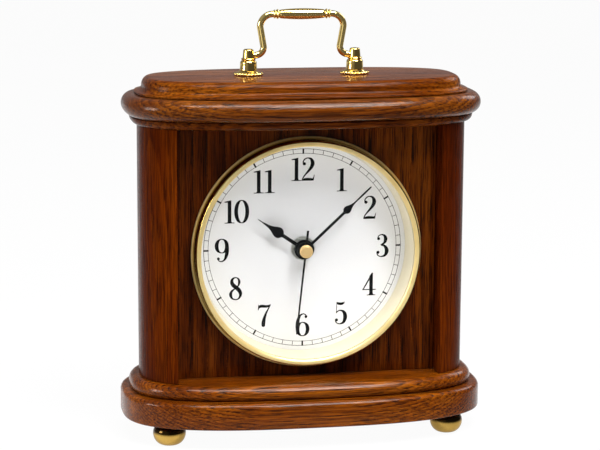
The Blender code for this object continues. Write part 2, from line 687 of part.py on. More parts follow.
def make_glass_and_dial():
    at = (0, DIAL_Y, DIAL_Z)
    keep(cylinder(
        "glass_lens", DROP_IN_RADIUS, GLASS_REAR_DEPTH, GLASS_FRONT_DEPTH, at, FACE_FRONT, ROUND_STEPS
    ), GLASS)
    front = GLASS_REAR_DEPTH - SEAM
    profile = [
        (REFLECTOR_FRONT_RADIUS, front), (DROP_IN_RADIUS, front), (DROP_IN_RADIUS, SEAM),
        (REFLECTOR_REAR_RADIUS, SEAM),
    ]
    keep(turned("reflector_ring", profile, at, FACE_FRONT, ROUND_STEPS), CREAM)
    dial = keep(cylinder(
        "dial_plate", DROP_IN_RADIUS, -DIAL_THICKNESS, 0, at, FACE_FRONT, ROUND_STEPS
    ), DIAL_WHITE)
    cut(dial, cylinder(
        "dial_hole", BUSH_RADIUS + FIT, -DIAL_THICKNESS - OVERRUN, OVERRUN, at, FACE_FRONT
    ))


def make_clips(front_panel):
    """Three flat springs, screwed to the back of the panel, that hold the insert by its dial."""
    inner, outer = DROP_IN_RADIUS - CLIP_REACH, BORE_RADIUS + CLIP_TAIL
    screw_at = (BORE_RADIUS + outer) / 2
    back = PANEL_BACK_Y + SEAM
    turned_back = (-math.pi / 2, 0, 0)
    head = CLIP_SCREW_HEAD_HEIGHT
    profile = [
        (0, head), (CLIP_SCREW_HEAD_RADIUS / 2, head), (CLIP_SCREW_HEAD_RADIUS, 0), (CLIP_SCREW_RADIUS, 0),
        (CLIP_SCREW_RADIUS, -CLIP_SCREW_LENGTH), (0, -CLIP_SCREW_LENGTH),
    ]
    for number, degrees in enumerate(CLIP_ANGLES_DEG, start=1):
        turn = math.radians(degrees)
        clip = block(
            f"retaining_clip_{number}", (inner, -CLIP_WIDTH / 2, -CLIP_THICKNESS),
            (outer, CLIP_WIDTH / 2, 0), (0, back, DIAL_Z),
        )
        clip.rotation_euler = (math.pi / 2, -turn, 0)
        clip.rotation_mode = "XYZ"
        keep(clip, STEEL, smooth=False)
        spot = (screw_at * math.cos(turn), back + CLIP_THICKNESS + SEAM, DIAL_Z + screw_at * math.sin(turn))
        name = f"clip_screw_{number}"
        keep(turned(name, profile, spot, turned_back, steps=8), STEEL)
        hole = cylinder(
            name + "_hole", CLIP_SCREW_RADIUS + FIT, -CLIP_SCREW_LENGTH - SEAM, OVERRUN, spot, turned_back, 12
        )
        cut(clip, hole)
        cut_again(front_panel, hole)


# Hands

def hand_outline(length, bulb_at, bulb_width, arm_width):
    """A pear hand pointing along +Y: a straight arm, a pear-shaped bulb and a long thin tip."""
    back_shares = ((0.00, 0.32), (0.10, 0.70), (0.45, 0.94), (1.00, 1.00))
    tip_shares = ((0.10, 0.80), (0.22, 0.50), (0.36, 0.26), (0.60, 0.13), (1.00, 0.03))
    back = bulb_width * 0.36
    start = bulb_at - back
    half = bulb_width / 2
    side = [(arm_width / 2, 0), (arm_width / 2, start)]
    side += [(max(half * w, arm_width / 2), start + back * s) for s, w in back_shares]
    side += [(half * w, bulb_at + (length - bulb_at) * s) for s, w in tip_shares]
    side = side[:1] + side[2:]
    return side + [(-x, y) for x, y in reversed(side)]


def aimed(degrees):
    """Stands a flat piece up facing the front and turns it clockwise from twelve."""
    return (math.pi / 2, math.radians(degrees), 0)


def make_hand(name, outline, depth, angle_deg, hub_radius, bore_radius, finish_used):
    at = (0, DIAL_Y, DIAL_Z)
    aim = aimed(angle_deg)
    middle = depth + HAND_THICKNESS / 2
    hub = cylinder(name, hub_radius, middle - HUB_HEIGHT / 2, middle + HUB_HEIGHT / 2, at, aim, 24)
    keep(hub, finish_used)
    join(hub, plate(name + "_blade", outline, depth, depth + HAND_THICKNESS, at, aim))
    cut(hub, cylinder(
        name + "_bore", bore_radius, depth - HUB_HEIGHT, depth + 2 * HUB_HEIGHT, at, aim, 12
    ))


def make_hands():
    make_hand(
        "hour_hand", hand_outline(HOUR_LENGTH, HOUR_BULB_AT, HOUR_BULB_WIDTH, HOUR_ARM_WIDTH),
        HOUR_DEPTH, HOUR_ANGLE_DEG, HOUR_HUB_RADIUS, HOUR_PIPE_RADIUS + FIT, BLACK,
    )
    make_hand(
        "minute_hand", hand_outline(MINUTE_LENGTH, MINUTE_BULB_AT, MINUTE_BULB_WIDTH, MINUTE_ARM_WIDTH),
        MINUTE_DEPTH, MINUTE_ANGLE_DEG, MINUTE_HUB_RADIUS, CANNON_RADIUS + FIT, BLACK,
    )
    tail, tip = SECOND_WIDTH / 2, SECOND_TIP_WIDTH / 2
    outline = [(tail, -SECOND_TAIL), (tip, SECOND_LENGTH), (-tip, SECOND_LENGTH), (-tail, -SECOND_TAIL)]
    make_hand(
        "second_hand", outline, SECOND_DEPTH, SECOND_ANGLE_DEG, SECOND_HUB_RADIUS,
        SECOND_ARBOR_RADIUS + FIT, BLACK,
    )
    base = SECOND_DEPTH + HAND_THICKNESS / 2 + HUB_HEIGHT / 2 + SEAM
    rim = CAP_HEIGHT * 0.4
    profile = [(0, base + CAP_HEIGHT)]
    profile += [
        (CAP_RADIUS * math.sin(t), base + rim + (CAP_HEIGHT - rim) * math.cos(t))
        for t in (math.radians(a) for a in (30, 60, 90))
    ]
    profile += [(CAP_RADIUS, base), (0, base)]
    cap = keep(turned(
        "second_hand_cap", profile, (0, DIAL_Y, DIAL_Z), aimed(SECOND_ANGLE_DEG), 20
    ), BRASS)
    cut(cap, cylinder(
        "cap_bore", SECOND_ARBOR_RADIUS + FIT, base - OVERRUN, base + CAP_HEIGHT / 2,
        (0, DIAL_Y, DIAL_Z), FACE_FRONT, 12,
    ))


# Gears. Angles are seen from the front, anticlockwise from +X.

def gear_outline(teeth, module, phase, pinion=False):
    """Straight-flanked teeth, each with a flat tip and one root point shared with its neighbour."""
    pitch_radius = teeth * module / 2
    addendum = PINION_ADDENDUM_SHARE if pinion else WHEEL_ADDENDUM_SHARE
    tip_share = LEAF_TIP_SHARE if pinion else WHEEL_TIP_SHARE
    tip = pitch_radius + addendum * module
    root = pitch_radius - DEDENDUM_SHARE * module
    pitch = FULL_TURN / teeth
    outline = []
    for tooth in range(teeth):
        centre = phase + tooth * pitch
        for radius, share in ((root, -0.5), (tip, -tip_share), (tip, tip_share)):
            angle = centre + share * pitch
            outline.append((radius * math.cos(angle), radius * math.sin(angle)))
    return outline


def meshed_phase(teeth, phase, other_teeth, direction):
    """The phase of a gear that meshes with one of these teeth and phase, placed in that direction."""
    ahead = phase - direction
    return direction + math.pi + math.pi / other_teeth - ahead * teeth / other_teeth


def away(distance, degrees, origin=(0, 0)):
    turn = math.radians(degrees)
    return (origin[0] + distance * math.cos(turn), origin[1] + distance * math.sin(turn))


def movement_place(spot=(0, 0)):
    """Where a movement piece stands: local +Z towards the viewer from the case's front."""
    return (spot[0], MOVEMENT_Y, DIAL_Z + spot[1])


def layer(depth, height):
    """The local heights of something that lies depth behind the case's front."""
    return -depth - height, -depth


def wheel(name, teeth, module, phase, depth, spot, finish_used=GEAR_PLASTIC):
    """A toothed wheel at its layer, among the parts."""
    low, high = layer(depth, WHEEL_THICKNESS)
    outline = gear_outline(teeth, module, phase)
    return keep(plate(name, outline, low, high, movement_place(spot), FACE_FRONT), finish_used, False)


def add_pinion(target, teeth, module, phase, depth, height, spot):
    low, high = layer(depth, height)
    outline = gear_outline(teeth, module, phase, pinion=True)
    join(target, plate(target.name + "_pinion", outline, low, high, movement_place(spot), FACE_FRONT))


def add_arbor(target, radius, front, rear, spot, steps=8):
    """An arbor from one depth to another."""
    join(target, cylinder(
        f"{target.name}_arbor_{len(target.modifiers)}", radius, -rear, -front,
        movement_place(spot), FACE_FRONT, steps,
    ))


def bore(target, radius, front, rear, spot, steps=16):
    cut(target, cylinder(
        f"{target.name}_bore_{len(target.modifiers)}", radius, -rear, -front,
        movement_place(spot), FACE_FRONT, steps,
    ))


def make_motion_work():
    """The wheels that the setting knob turns: cannon pinion, minute wheel, hour wheel."""
    dial_depth = -(SEAM + DIAL_THICKNESS)
    hub_front = HUB_HEIGHT / 2 + HAND_THICKNESS / 2
    direction = math.radians(MINUTE_WHEEL_DIRECTION_DEG)
    minute_spot = away(MOTION_DISTANCE, MINUTE_WHEEL_DIRECTION_DEG)

    cannon_low, cannon_high = layer(MINUTE_LAYER - BITE, PINION_HEIGHT)
    cannon = keep(plate(
        "cannon_pinion", gear_outline(CANNON_TEETH, MOTION_MODULE, 0.0, True), cannon_low, cannon_high,
        movement_place(), FACE_FRONT,
    ), STEEL, False)
    cannon_front = dial_depth - MINUTE_DEPTH - hub_front
    cannon_rear = CENTRE_LAYER + WHEEL_THICKNESS
    add_arbor(cannon, CANNON_RADIUS, cannon_front, cannon_rear, (0, 0), 16)
    bore(cannon, CANNON_BORE_RADIUS, cannon_front - OVERRUN, cannon_rear + OVERRUN, (0, 0), 12)

    phase = meshed_phase(CANNON_TEETH, 0.0, MINUTE_WHEEL_TEETH, direction)
    minute_wheel = wheel(
        "minute_wheel", MINUTE_WHEEL_TEETH, MOTION_MODULE, phase, MINUTE_LAYER, minute_spot
    )
    add_pinion(
        minute_wheel, MINUTE_PINION_TEETH, HOUR_MODULE, 0.0, HOUR_LAYER - BITE,
        MINUTE_LAYER - HOUR_LAYER + 2 * BITE, minute_spot,
    )
    add_arbor(
        minute_wheel, PIVOT_RADIUS, CASE_WALL / 2, MIDDLE_PLATE_DEPTH + MIDDLE_PLATE_THICKNESS / 2,
        minute_spot,
    )

    hour_phase = meshed_phase(MINUTE_PINION_TEETH, 0.0, HOUR_WHEEL_TEETH, direction + math.pi)
    hour_wheel = wheel("hour_wheel", HOUR_WHEEL_TEETH, HOUR_MODULE, hour_phase, HOUR_LAYER, (0, 0))
    pipe_front = dial_depth - HOUR_DEPTH - hub_front
    add_arbor(hour_wheel, HOUR_PIPE_RADIUS, pipe_front, HOUR_LAYER + WHEEL_THICKNESS / 2, (0, 0), 16)
    bore(
        hour_wheel, HOUR_PIPE_BORE_RADIUS, pipe_front - OVERRUN, HOUR_LAYER + WHEEL_THICKNESS + OVERRUN,
        (0, 0),
    )

    setting_turn = math.radians(SETTING_DIRECTION_DEG)
    setting_spot = away(SETTING_DISTANCE, SETTING_DIRECTION_DEG, minute_spot)
    setting_phase = meshed_phase(MINUTE_WHEEL_TEETH, phase, SETTING_TEETH, setting_turn)
    low, high = layer(MINUTE_LAYER - BITE, PINION_HEIGHT)
    knob = keep(plate(
        "setting_knob", gear_outline(SETTING_TEETH, MOTION_MODULE, setting_phase, True), low, high,
        movement_place(setting_spot), FACE_FRONT,
    ), GEAR_PLASTIC, False)
    knob_front = CASE_DEPTH + SEAM
    add_arbor(knob, 2 * PIVOT_RADIUS, CASE_WALL / 2, knob_front + BITE, setting_spot)
    outline = []
    for i in range(2 * KNOB_GRIPS):
        radius = KNOB_RADIUS - (PIVOT_RADIUS if i % 2 else 0)
        outline.append(away(radius, 360 * i / (2 * KNOB_GRIPS)))
    low, high = layer(knob_front, KNOB_HEIGHT)
    join(knob, plate("setting_knob_grip", outline, low, high, movement_place(setting_spot), FACE_FRONT))
    return minute_spot, setting_spot


def make_going_train():
    """The wheels from the stepping rotor to the second hand, and down to the centre wheel."""
    third_turn = math.radians(THIRD_DIRECTION_DEG)
    third_spot = away(TRAIN_DISTANCE, THIRD_DIRECTION_DEG)
    fifth_turn = math.radians(FIFTH_DIRECTION_DEG)
    fifth_spot = away(FIFTH_DISTANCE, FIFTH_DIRECTION_DEG)
    rotor_turn = math.radians(ROTOR_DIRECTION_DEG)
    rotor_spot = away(ROTOR_DISTANCE, ROTOR_DIRECTION_DEG, fifth_spot)
    cover_seat = CASE_DEPTH - COVER_THICKNESS / 2
    dial_depth = -(SEAM + DIAL_THICKNESS)

    second_wheel = wheel(
        "second_wheel", SECOND_WHEEL_TEETH, FIFTH_MODULE, 0.0, SECOND_LAYER, (0, 0)
    )
    add_pinion(
        second_wheel, SECOND_PINION_TEETH, TRAIN_MODULE, 0.0, THIRD_LAYER - BITE,
        SECOND_LAYER - THIRD_LAYER + 2 * BITE, (0, 0),
    )
    cap_seat = SECOND_DEPTH + HAND_THICKNESS / 2 + HUB_HEIGHT / 2 + SEAM + CAP_HEIGHT / 2 - SEAM
    add_arbor(second_wheel, SECOND_ARBOR_RADIUS, dial_depth - cap_seat, cover_seat, (0, 0))

    third_phase = meshed_phase(SECOND_PINION_TEETH, 0.0, THIRD_WHEEL_TEETH, third_turn)
    third_wheel = wheel(
        "third_wheel", THIRD_WHEEL_TEETH, TRAIN_MODULE, third_phase, THIRD_LAYER, third_spot
    )
    add_pinion(
        third_wheel, THIRD_PINION_TEETH, CENTRE_MODULE, 0.0, CENTRE_LAYER - BITE,
        THIRD_LAYER - CENTRE_LAYER + 2 * BITE, third_spot,
    )
    add_arbor(
        third_wheel, PIVOT_RADIUS, MIDDLE_PLATE_DEPTH + MIDDLE_PLATE_THICKNESS / 2, cover_seat, third_spot
    )

    centre_phase = meshed_phase(THIRD_PINION_TEETH, 0.0, CENTRE_WHEEL_TEETH, third_turn + math.pi)
    centre_wheel = wheel(
        "centre_wheel", CENTRE_WHEEL_TEETH, CENTRE_MODULE, centre_phase, CENTRE_LAYER, (0, 0)
    )
    bore(centre_wheel, CANNON_RADIUS + FIT, CENTRE_LAYER - OVERRUN, CENTRE_LAYER + OVERRUN, (0, 0))

    fifth_pinion_phase = meshed_phase(SECOND_WHEEL_TEETH, 0.0, FIFTH_PINION_TEETH, fifth_turn)
    fifth_wheel = wheel(
        "fifth_wheel", FIFTH_WHEEL_TEETH, ROTOR_MODULE, 0.0, FIFTH_LAYER, fifth_spot
    )
    add_pinion(
        fifth_wheel, FIFTH_PINION_TEETH, FIFTH_MODULE, fifth_pinion_phase, SECOND_LAYER - BITE,
        FIFTH_LAYER - SECOND_LAYER + 2 * BITE, fifth_spot,
    )
    add_arbor(fifth_wheel, PIVOT_RADIUS, FIFTH_LAYER, cover_seat, fifth_spot)

    rotor_phase = meshed_phase(FIFTH_WHEEL_TEETH, 0.0, ROTOR_TEETH, rotor_turn)
    low, high = layer(FIFTH_LAYER - BITE, PINION_HEIGHT)
    rotor = keep(plate(
        "rotor", gear_outline(ROTOR_TEETH, ROTOR_MODULE, rotor_phase, True), low, high,
        movement_place(rotor_spot), FACE_FRONT,
    ), STEEL, False)
    magnet_front = FIFTH_LAYER + PINION_HEIGHT - 2 * BITE
    add_arbor(rotor, ROTOR_MAGNET_RADIUS, magnet_front, magnet_front + ROTOR_MAGNET_HEIGHT, rotor_spot, 20)
    add_arbor(rotor, PIVOT_RADIUS, FIFTH_LAYER, cover_seat, rotor_spot)
    return third_spot, fifth_spot, rotor_spot, magnet_front


def rounded_square(half, radius, steps=3):
    outline = []
    inner = half - radius
    for corner, (sx, sy) in enumerate(((1, 1), (-1, 1), (-1, -1), (1, -1))):
        outline += arc((sx * inner, sy * inner), radius, 90 * corner, 90 * corner + 90, steps)
    return outline


def coil_edge():
    """The lowest line of the coil, which lies along the top of the case."""
    return CASE_SIDE / 2 - CASE_WALL - 2 * COIL_RADIUS - 2 * SEAM


def make_movement_case(minute_spot, setting_spot, train_spots):
    """The front shell with its bush, the middle plate and the rear cover, bored for their pivots."""
    half = CASE_SIDE / 2
    place = movement_place()
    depth = CASE_DEPTH - COVER_THICKNESS - SEAM
    shell = keep(plate(
        "movement_case", rounded_square(half, CASE_CORNER_RADIUS), -depth, 0, place, FACE_FRONT
    ), CASE_PLASTIC)
    inside = rounded_square(half - CASE_WALL, CASE_CORNER_RADIUS - CASE_WALL)
    cut(shell, plate("case_hollow", inside, -depth - OVERRUN, -CASE_WALL, place, FACE_FRONT))
    bore(shell, BUSH_RADIUS + FIT, -OVERRUN, CASE_WALL + OVERRUN, (0, 0), 20)
    for spot, radius in ((minute_spot, PIVOT_RADIUS), (setting_spot, 2 * PIVOT_RADIUS)):
        bore(shell, radius + FIT, CASE_WALL / 4, CASE_WALL + OVERRUN, spot, 8)

    cover_low = -CASE_DEPTH
    cover = keep(plate(
        "movement_cover", rounded_square(half, CASE_CORNER_RADIUS), cover_low, cover_low + COVER_THICKNESS,
        place, FACE_FRONT,
    ), CASE_PLASTIC)
    third_spot, fifth_spot, rotor_spot = train_spots
    for spot, radius in (
        ((0, 0), SECOND_ARBOR_RADIUS), (third_spot, PIVOT_RADIUS), (fifth_spot, PIVOT_RADIUS),
        (rotor_spot, PIVOT_RADIUS),
    ):
        bore(cover, radius + FIT, CASE_DEPTH - 2 * COVER_THICKNESS, CASE_DEPTH - COVER_THICKNESS / 4, spot, 8)
    bore(cover, 2 * PIVOT_RADIUS + FIT, CASE_DEPTH - 2 * COVER_THICKNESS, CASE_DEPTH + OVERRUN, setting_spot, 12)

    plate_half = half - CASE_WALL - SEAM
    plate_low = BATTERY_RADIUS + SEAM - BATTERY_BELOW
    low, high = layer(MIDDLE_PLATE_DEPTH, MIDDLE_PLATE_THICKNESS)
    bridge = keep(block(
        "middle_plate", (-plate_half, plate_low, low), (plate_half, coil_edge() - SEAM, high),
        place, FACE_FRONT,
    ), GEAR_PLASTIC, False)
    front, rear = MIDDLE_PLATE_DEPTH - OVERRUN, MIDDLE_PLATE_DEPTH + OVERRUN
    for spot, radius in (
        ((0, 0), CANNON_RADIUS), (minute_spot, PIVOT_RADIUS), (third_spot, PIVOT_RADIUS),
        (setting_spot, 2 * PIVOT_RADIUS),
    ):
        bore(bridge, radius + FIT, front, rear, spot, 10)

    bush_front = SEAM + DIAL_THICKNESS + BUSH_PROUD
    profile = [
        (BUSH_BORE_RADIUS, bush_front), (BUSH_RADIUS, bush_front), (BUSH_RADIUS, -CASE_WALL),
        (BUSH_BORE_RADIUS, -CASE_WALL),
    ]
    keep(turned("threaded_bush", profile, place, FACE_FRONT, 20), BRASS)
    washer_low = SEAM + DIAL_THICKNESS + FIT
    nut_low = washer_low + WASHER_THICKNESS + FIT
    inner = BUSH_RADIUS + FIT
    profile = [
        (inner, nut_low - FIT), (WASHER_RADIUS, nut_low - FIT), (WASHER_RADIUS, washer_low),
        (inner, washer_low),
    ]
    keep(turned("bush_washer", profile, place, FACE_FRONT, 20), STEEL)
    nut = plate(
        "bush_nut", [away(NUT_RADIUS, 60 * i) for i in range(6)], nut_low, nut_low + NUT_HEIGHT,
        place, FACE_FRONT,
    )
    keep(nut, STEEL, False)
    cut(nut, cylinder(
        "nut_bore", inner, washer_low, nut_low + NUT_HEIGHT + OVERRUN, place, FACE_FRONT, 24
    ))
    return cover


def make_electrics(cover, rotor_spot, magnet_front):
    """Stator round the rotor, coil on its core, circuit board, battery and its two contacts."""
    clear = ROTOR_MAGNET_RADIUS + SEAM
    arm = clear + COIL_RADIUS / 2
    low, high = layer(magnet_front + SEAM, STATOR_THICKNESS)
    place = movement_place()
    coil_y = coil_edge() + COIL_RADIUS
    left, right = rotor_spot[0] - arm, rotor_spot[0] + arm
    stator = keep(block(
        "stator", (left, rotor_spot[1] - arm, low), (right, coil_edge() - SEAM, high), place, FACE_FRONT
    ), STEEL, False)
    bore(stator, clear, magnet_front - OVERRUN, magnet_front + 2 * OVERRUN, rotor_spot, 20)
    start = left + COIL_CHEEK_THICKNESS
    coil = cylinder("coil", COIL_RADIUS, 0, COIL_LENGTH, steps=20)
    coil.location = (start, MOVEMENT_Y + magnet_front + SEAM - COIL_RADIUS, DIAL_Z + coil_y)
    coil.rotation_euler = (0, math.pi / 2, 0)
    keep(coil, COPPER)

    wall = CASE_SIDE / 2 - CASE_WALL - SEAM
    board_low, board_high = layer(CASE_DEPTH - COVER_THICKNESS - 2 * SEAM - BOARD_THICKNESS, BOARD_THICKNESS)
    board_left = away(TRAIN_DISTANCE, THIRD_DIRECTION_DEG)[0] + COIL_RADIUS
    keep(block(
        "circuit_board", (board_left, BATTERY_RADIUS - BATTERY_BELOW + 2 * SEAM, board_low),
        (wall, CASE_SIDE / 4, board_high), place, FACE_FRONT,
    ), GREEN, False)

    # The battery lies across the bottom of the movement, in an open bay that faces backwards.
    half = BATTERY_LENGTH / 2
    battery_y = MOVEMENT_Y + CASE_WALL + SEAM + BATTERY_RADIUS
    profile = [
        (0, half + BATTERY_TIP_LENGTH), (BATTERY_TIP_RADIUS, half + BATTERY_TIP_LENGTH),
        (BATTERY_TIP_RADIUS, half), (BATTERY_RADIUS, half), (BATTERY_RADIUS, -half), (0, -half),
    ]
    spot = (-BATTERY_TIP_LENGTH / 2, battery_y, DIAL_Z - BATTERY_BELOW)
    keep(turned("battery", profile, spot, (0, math.pi / 2, 0), 20), BATTERY_JACKET)
    bay = wall + SEAM - CASE_WALL
    cut(cover, block(
        "battery_bay", (-bay, -BATTERY_BELOW - BATTERY_RADIUS - SEAM, -CASE_DEPTH - OVERRUN),
        (bay, -BATTERY_BELOW + BATTERY_RADIUS + SEAM, -CASE_DEPTH + COVER_THICKNESS + OVERRUN),
        place, FACE_FRONT,
    ))
    z = DIAL_Z - BATTERY_BELOW
    side = CONTACT_WIDTH / 2
    for name, outwards, battery_end in (
        ("battery_contact_positive", 1, spot[0] + half + BATTERY_TIP_LENGTH),
        ("battery_contact_negative", -1, half - spot[0]),
    ):
        place = (outwards * wall, battery_y, z)
        facing = (0, -outwards * math.pi / 2, 0)
        contact = keep(block(name, (-side, -side, 0), (side, side, CONTACT_THICKNESS), place, facing), STEEL)
        reach = wall - battery_end - SEAM
        dimple = [
            (0, reach), (BATTERY_TIP_RADIUS / 2, reach), (BATTERY_TIP_RADIUS, CONTACT_THICKNESS / 2),
            (0, CONTACT_THICKNESS / 2),
        ]
        join(contact, turned(name + "_dimple", dimple, place, facing, 12))


# Handle

def bail_points():
    """Half of the bail's centre line in (x, z) from the pivot, from its pin to the middle of the grip."""
    pin_end = HANDLE_HALF_SPAN + POST_RADIUS * PIN_DEPTH_SHARE - POST_RADIUS / 2
    shoulder = HANDLE_HALF_SPAN - POST_RADIUS - SEAM
    bend = BAIL_FOOT_BEND
    points = [(pin_end, 0, BAIL_PIN_RADIUS), (shoulder, 0, BAIL_PIN_RADIUS), (shoulder - FIT, 0, BAIL_RADIUS)]
    corner = BAIL_LEG_FOOT_X + bend
    for degrees in (270, 240, 210, 180):
        t = math.radians(degrees)
        points.append((corner + bend * math.cos(t), bend + bend * math.sin(t), BAIL_RADIUS))
    top = BAIL_TOP_BEND
    for degrees in (0, 18, 36, 54, 72, 90):
        t = math.radians(degrees)
        points.append(
            (BAIL_HALF_WIDTH - top + top * math.cos(t), BAIL_RISE - top + top * math.sin(t), BAIL_RADIUS)
        )
    end = GRIP_HALF_LENGTH
    width = GRIP_COLLAR_WIDTH
    points += [
        (end + width, BAIL_RISE, BAIL_RADIUS), (end + width * 0.9, BAIL_RISE, GRIP_COLLAR_RADIUS),
        (end + width * 0.3, BAIL_RISE, GRIP_COLLAR_RADIUS), (end, BAIL_RISE, GRIP_END_RADIUS),
    ]
    for share in (0.75, 0.5, 0.25):
        swell = GRIP_END_RADIUS + (GRIP_RADIUS - GRIP_END_RADIUS) * math.cos(share * math.pi / 2)
        points.append((end * share, BAIL_RISE, swell))
    points.append((0, BAIL_RISE, GRIP_RADIUS))
    return points


def make_bail():
    """One cast bail: its two pins, leaning legs and the swelling grip between two collars."""
    half = bail_points()
    whole = half + [(-x, z, r) for x, z, r in reversed(half[:-1])]
    curve = bpy.data.curves.new("handle_bail", "CURVE")
    curve.dimensions = "3D"
    curve.bevel_depth = BAIL_RADIUS
    curve.bevel_resolution = 2
    curve.use_fill_caps = True
    spline = curve.splines.new("POLY")
    spline.points.add(len(whole) - 1)
    for point, (x, z, radius) in zip(spline.points, whole):
        point.co = (x, 0, z, 1)
        point.radius = radius / BAIL_RADIUS
    bail = bpy.data.objects.new("handle_bail", curve)
    bail.location = (0, 0, PIVOT_Z)
    PARTS.objects.link(bail)
    own(BRASS, bail)
    return bail


def make_handle_posts(boards):
    """Both rosettes, posts and their screws, and the holes up through the boards."""
    top = HANDLE_POST_HEIGHT
    neck = COLLAR_HEIGHT
    post_profile = [
        (0, top), (POST_TOP_RADIUS * 0.7, top - POST_TOP_RADIUS * 0.1),
        (POST_TOP_RADIUS, top - POST_TOP_RADIUS * 0.4),
        (POST_RADIUS, neck + POST_RADIUS * 0.3), (COLLAR_RADIUS * 0.76, neck + POST_RADIUS * 0.12),
        (COLLAR_RADIUS * 0.8, neck - COLLAR_RADIUS * 0.05),
        (COLLAR_RADIUS, neck - COLLAR_RADIUS * 0.35), (COLLAR_RADIUS, 0), (0, 0),
    ]
    edge = FLANGE_HEIGHT * FLANGE_PLATE_SHARE
    shaft_top = HANDLE_POST_BOTTOM + HANDLE_SCREW_BITE
    head_top = CORNICE_MOULDING_BOTTOM - SEAM
    head = HANDLE_SCREW_HEAD_HEIGHT
    for side, x in (("left", -HANDLE_HALF_SPAN), ("right", HANDLE_HALF_SPAN)):
        inwards = -1 if x > 0 else 1
        lobes = [
            away(FLANGE_RADIUS - (FLANGE_LOBE_DEPTH if i % 2 else 0), 360 * i / (2 * FLANGE_LOBES))
            for i in range(2 * FLANGE_LOBES)
        ]
        flange = keep(plate(f"handle_rosette_{side}", lobes, 0, edge, (x, 0, FLANGE_BOTTOM)), BRASS)
        dome = [
            (0, FLANGE_HEIGHT), (COLLAR_RADIUS + FLANGE_LOBE_DEPTH, FLANGE_HEIGHT),
            (COLLAR_RADIUS + 3 * FLANGE_LOBE_DEPTH, FLANGE_HEIGHT * 0.8),
            (FLANGE_RADIUS - 2 * FLANGE_LOBE_DEPTH, edge - BITE), (0, edge - BITE),
        ]
        join(flange, turned(f"rosette_dome_{side}", dome, (x, 0, FLANGE_BOTTOM), steps=20))
        post = keep(turned(
            f"handle_post_{side}", post_profile, (x, 0, HANDLE_POST_BOTTOM), steps=18
        ), BRASS)
        deep = POST_RADIUS * PIN_DEPTH_SHARE - POST_RADIUS / 2 + SEAM
        socket = cylinder(
            f"pin_socket_{side}", BAIL_PIN_RADIUS + FIT, -deep, POST_RADIUS + OVERRUN, (x, 0, PIVOT_Z),
            (0, inwards * math.pi / 2, 0), 16,
        )
        cut(post, socket)
        hole_top = shaft_top + SEAM
        post_hole = cylinder(
            f"post_screw_hole_{side}", HANDLE_SCREW_RADIUS + FIT, HANDLE_POST_BOTTOM - OVERRUN, hole_top,
            (x, 0, 0), steps=16,
        )
        cut(post, post_hole)
        clearance_hole = cylinder(
            f"board_screw_hole_{side}", HANDLE_SCREW_RADIUS + SEAM, head_top, HANDLE_POST_BOTTOM,
            (x, 0, 0), steps=16,
        )
        cut(flange, clearance_hole)
        for piece in boards:
            cut_again(piece, clearance_hole)
        screw = [
            (0, shaft_top), (HANDLE_SCREW_RADIUS, shaft_top), (HANDLE_SCREW_RADIUS, head_top),
            (HANDLE_SCREW_HEAD_RADIUS, head_top), (HANDLE_SCREW_HEAD_RADIUS * 0.7, head_top - head),
            (0, head_top - head),
        ]
        keep(turned(f"handle_screw_{side}", screw, (x, 0, 0), steps=12), STEEL)


def main():
    stud_holes = make_feet()
    make_plinth(stud_holes)
    make_base_moulding()
    boards = make_cornice()
    make_end_posts()
    make_panels()
    make_bezel()
    make_glass_and_dial()
    make_clips(bpy.data.objects["front_panel"])
    make_hands()
    minute_spot, setting_spot = make_motion_work()
    third_spot, fifth_spot, rotor_spot, magnet_front = make_going_train()
    cover = make_movement_case(minute_spot, setting_spot, (third_spot, fifth_spot, rotor_spot))
    make_electrics(cover, rotor_spot, magnet_front)
    make_bail()
    make_handle_posts(boards)


main()
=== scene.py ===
"""Dresses the wooden table clock: fine boards, turned brass, a printed dial and procedural finishes.

Every piece is built in the row frame, in metres, with its object at the origin.
"""

import json
import math

import bmesh
import bpy
from mathutils import Matrix, Vector


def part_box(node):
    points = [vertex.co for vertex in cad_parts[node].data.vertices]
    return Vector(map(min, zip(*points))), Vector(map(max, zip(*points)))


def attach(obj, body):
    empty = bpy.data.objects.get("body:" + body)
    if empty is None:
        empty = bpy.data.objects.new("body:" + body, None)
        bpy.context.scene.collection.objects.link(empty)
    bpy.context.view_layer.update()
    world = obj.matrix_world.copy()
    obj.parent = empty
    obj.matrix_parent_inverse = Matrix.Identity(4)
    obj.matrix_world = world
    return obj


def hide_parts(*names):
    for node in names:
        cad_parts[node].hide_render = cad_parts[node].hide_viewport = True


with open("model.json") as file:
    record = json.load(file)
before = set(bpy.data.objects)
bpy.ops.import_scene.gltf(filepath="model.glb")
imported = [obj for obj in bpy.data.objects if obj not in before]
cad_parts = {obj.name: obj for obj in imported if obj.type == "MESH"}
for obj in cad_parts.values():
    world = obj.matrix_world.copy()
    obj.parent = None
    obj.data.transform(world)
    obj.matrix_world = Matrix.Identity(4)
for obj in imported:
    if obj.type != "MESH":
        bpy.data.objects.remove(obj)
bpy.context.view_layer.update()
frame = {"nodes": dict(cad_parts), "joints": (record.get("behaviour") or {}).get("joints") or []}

FULL_TURN = 2 * math.pi
OVAL_POWER = 2.8
SEAM = 0.0003
NODES = frame["nodes"]

DIAL_LOW, DIAL_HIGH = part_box("dial_plate")
DIAL_FACE = DIAL_LOW.y
AXIS = ((DIAL_LOW.x + DIAL_HIGH.x) / 2, (DIAL_LOW.z + DIAL_HIGH.z) / 2)


# Shader nodes

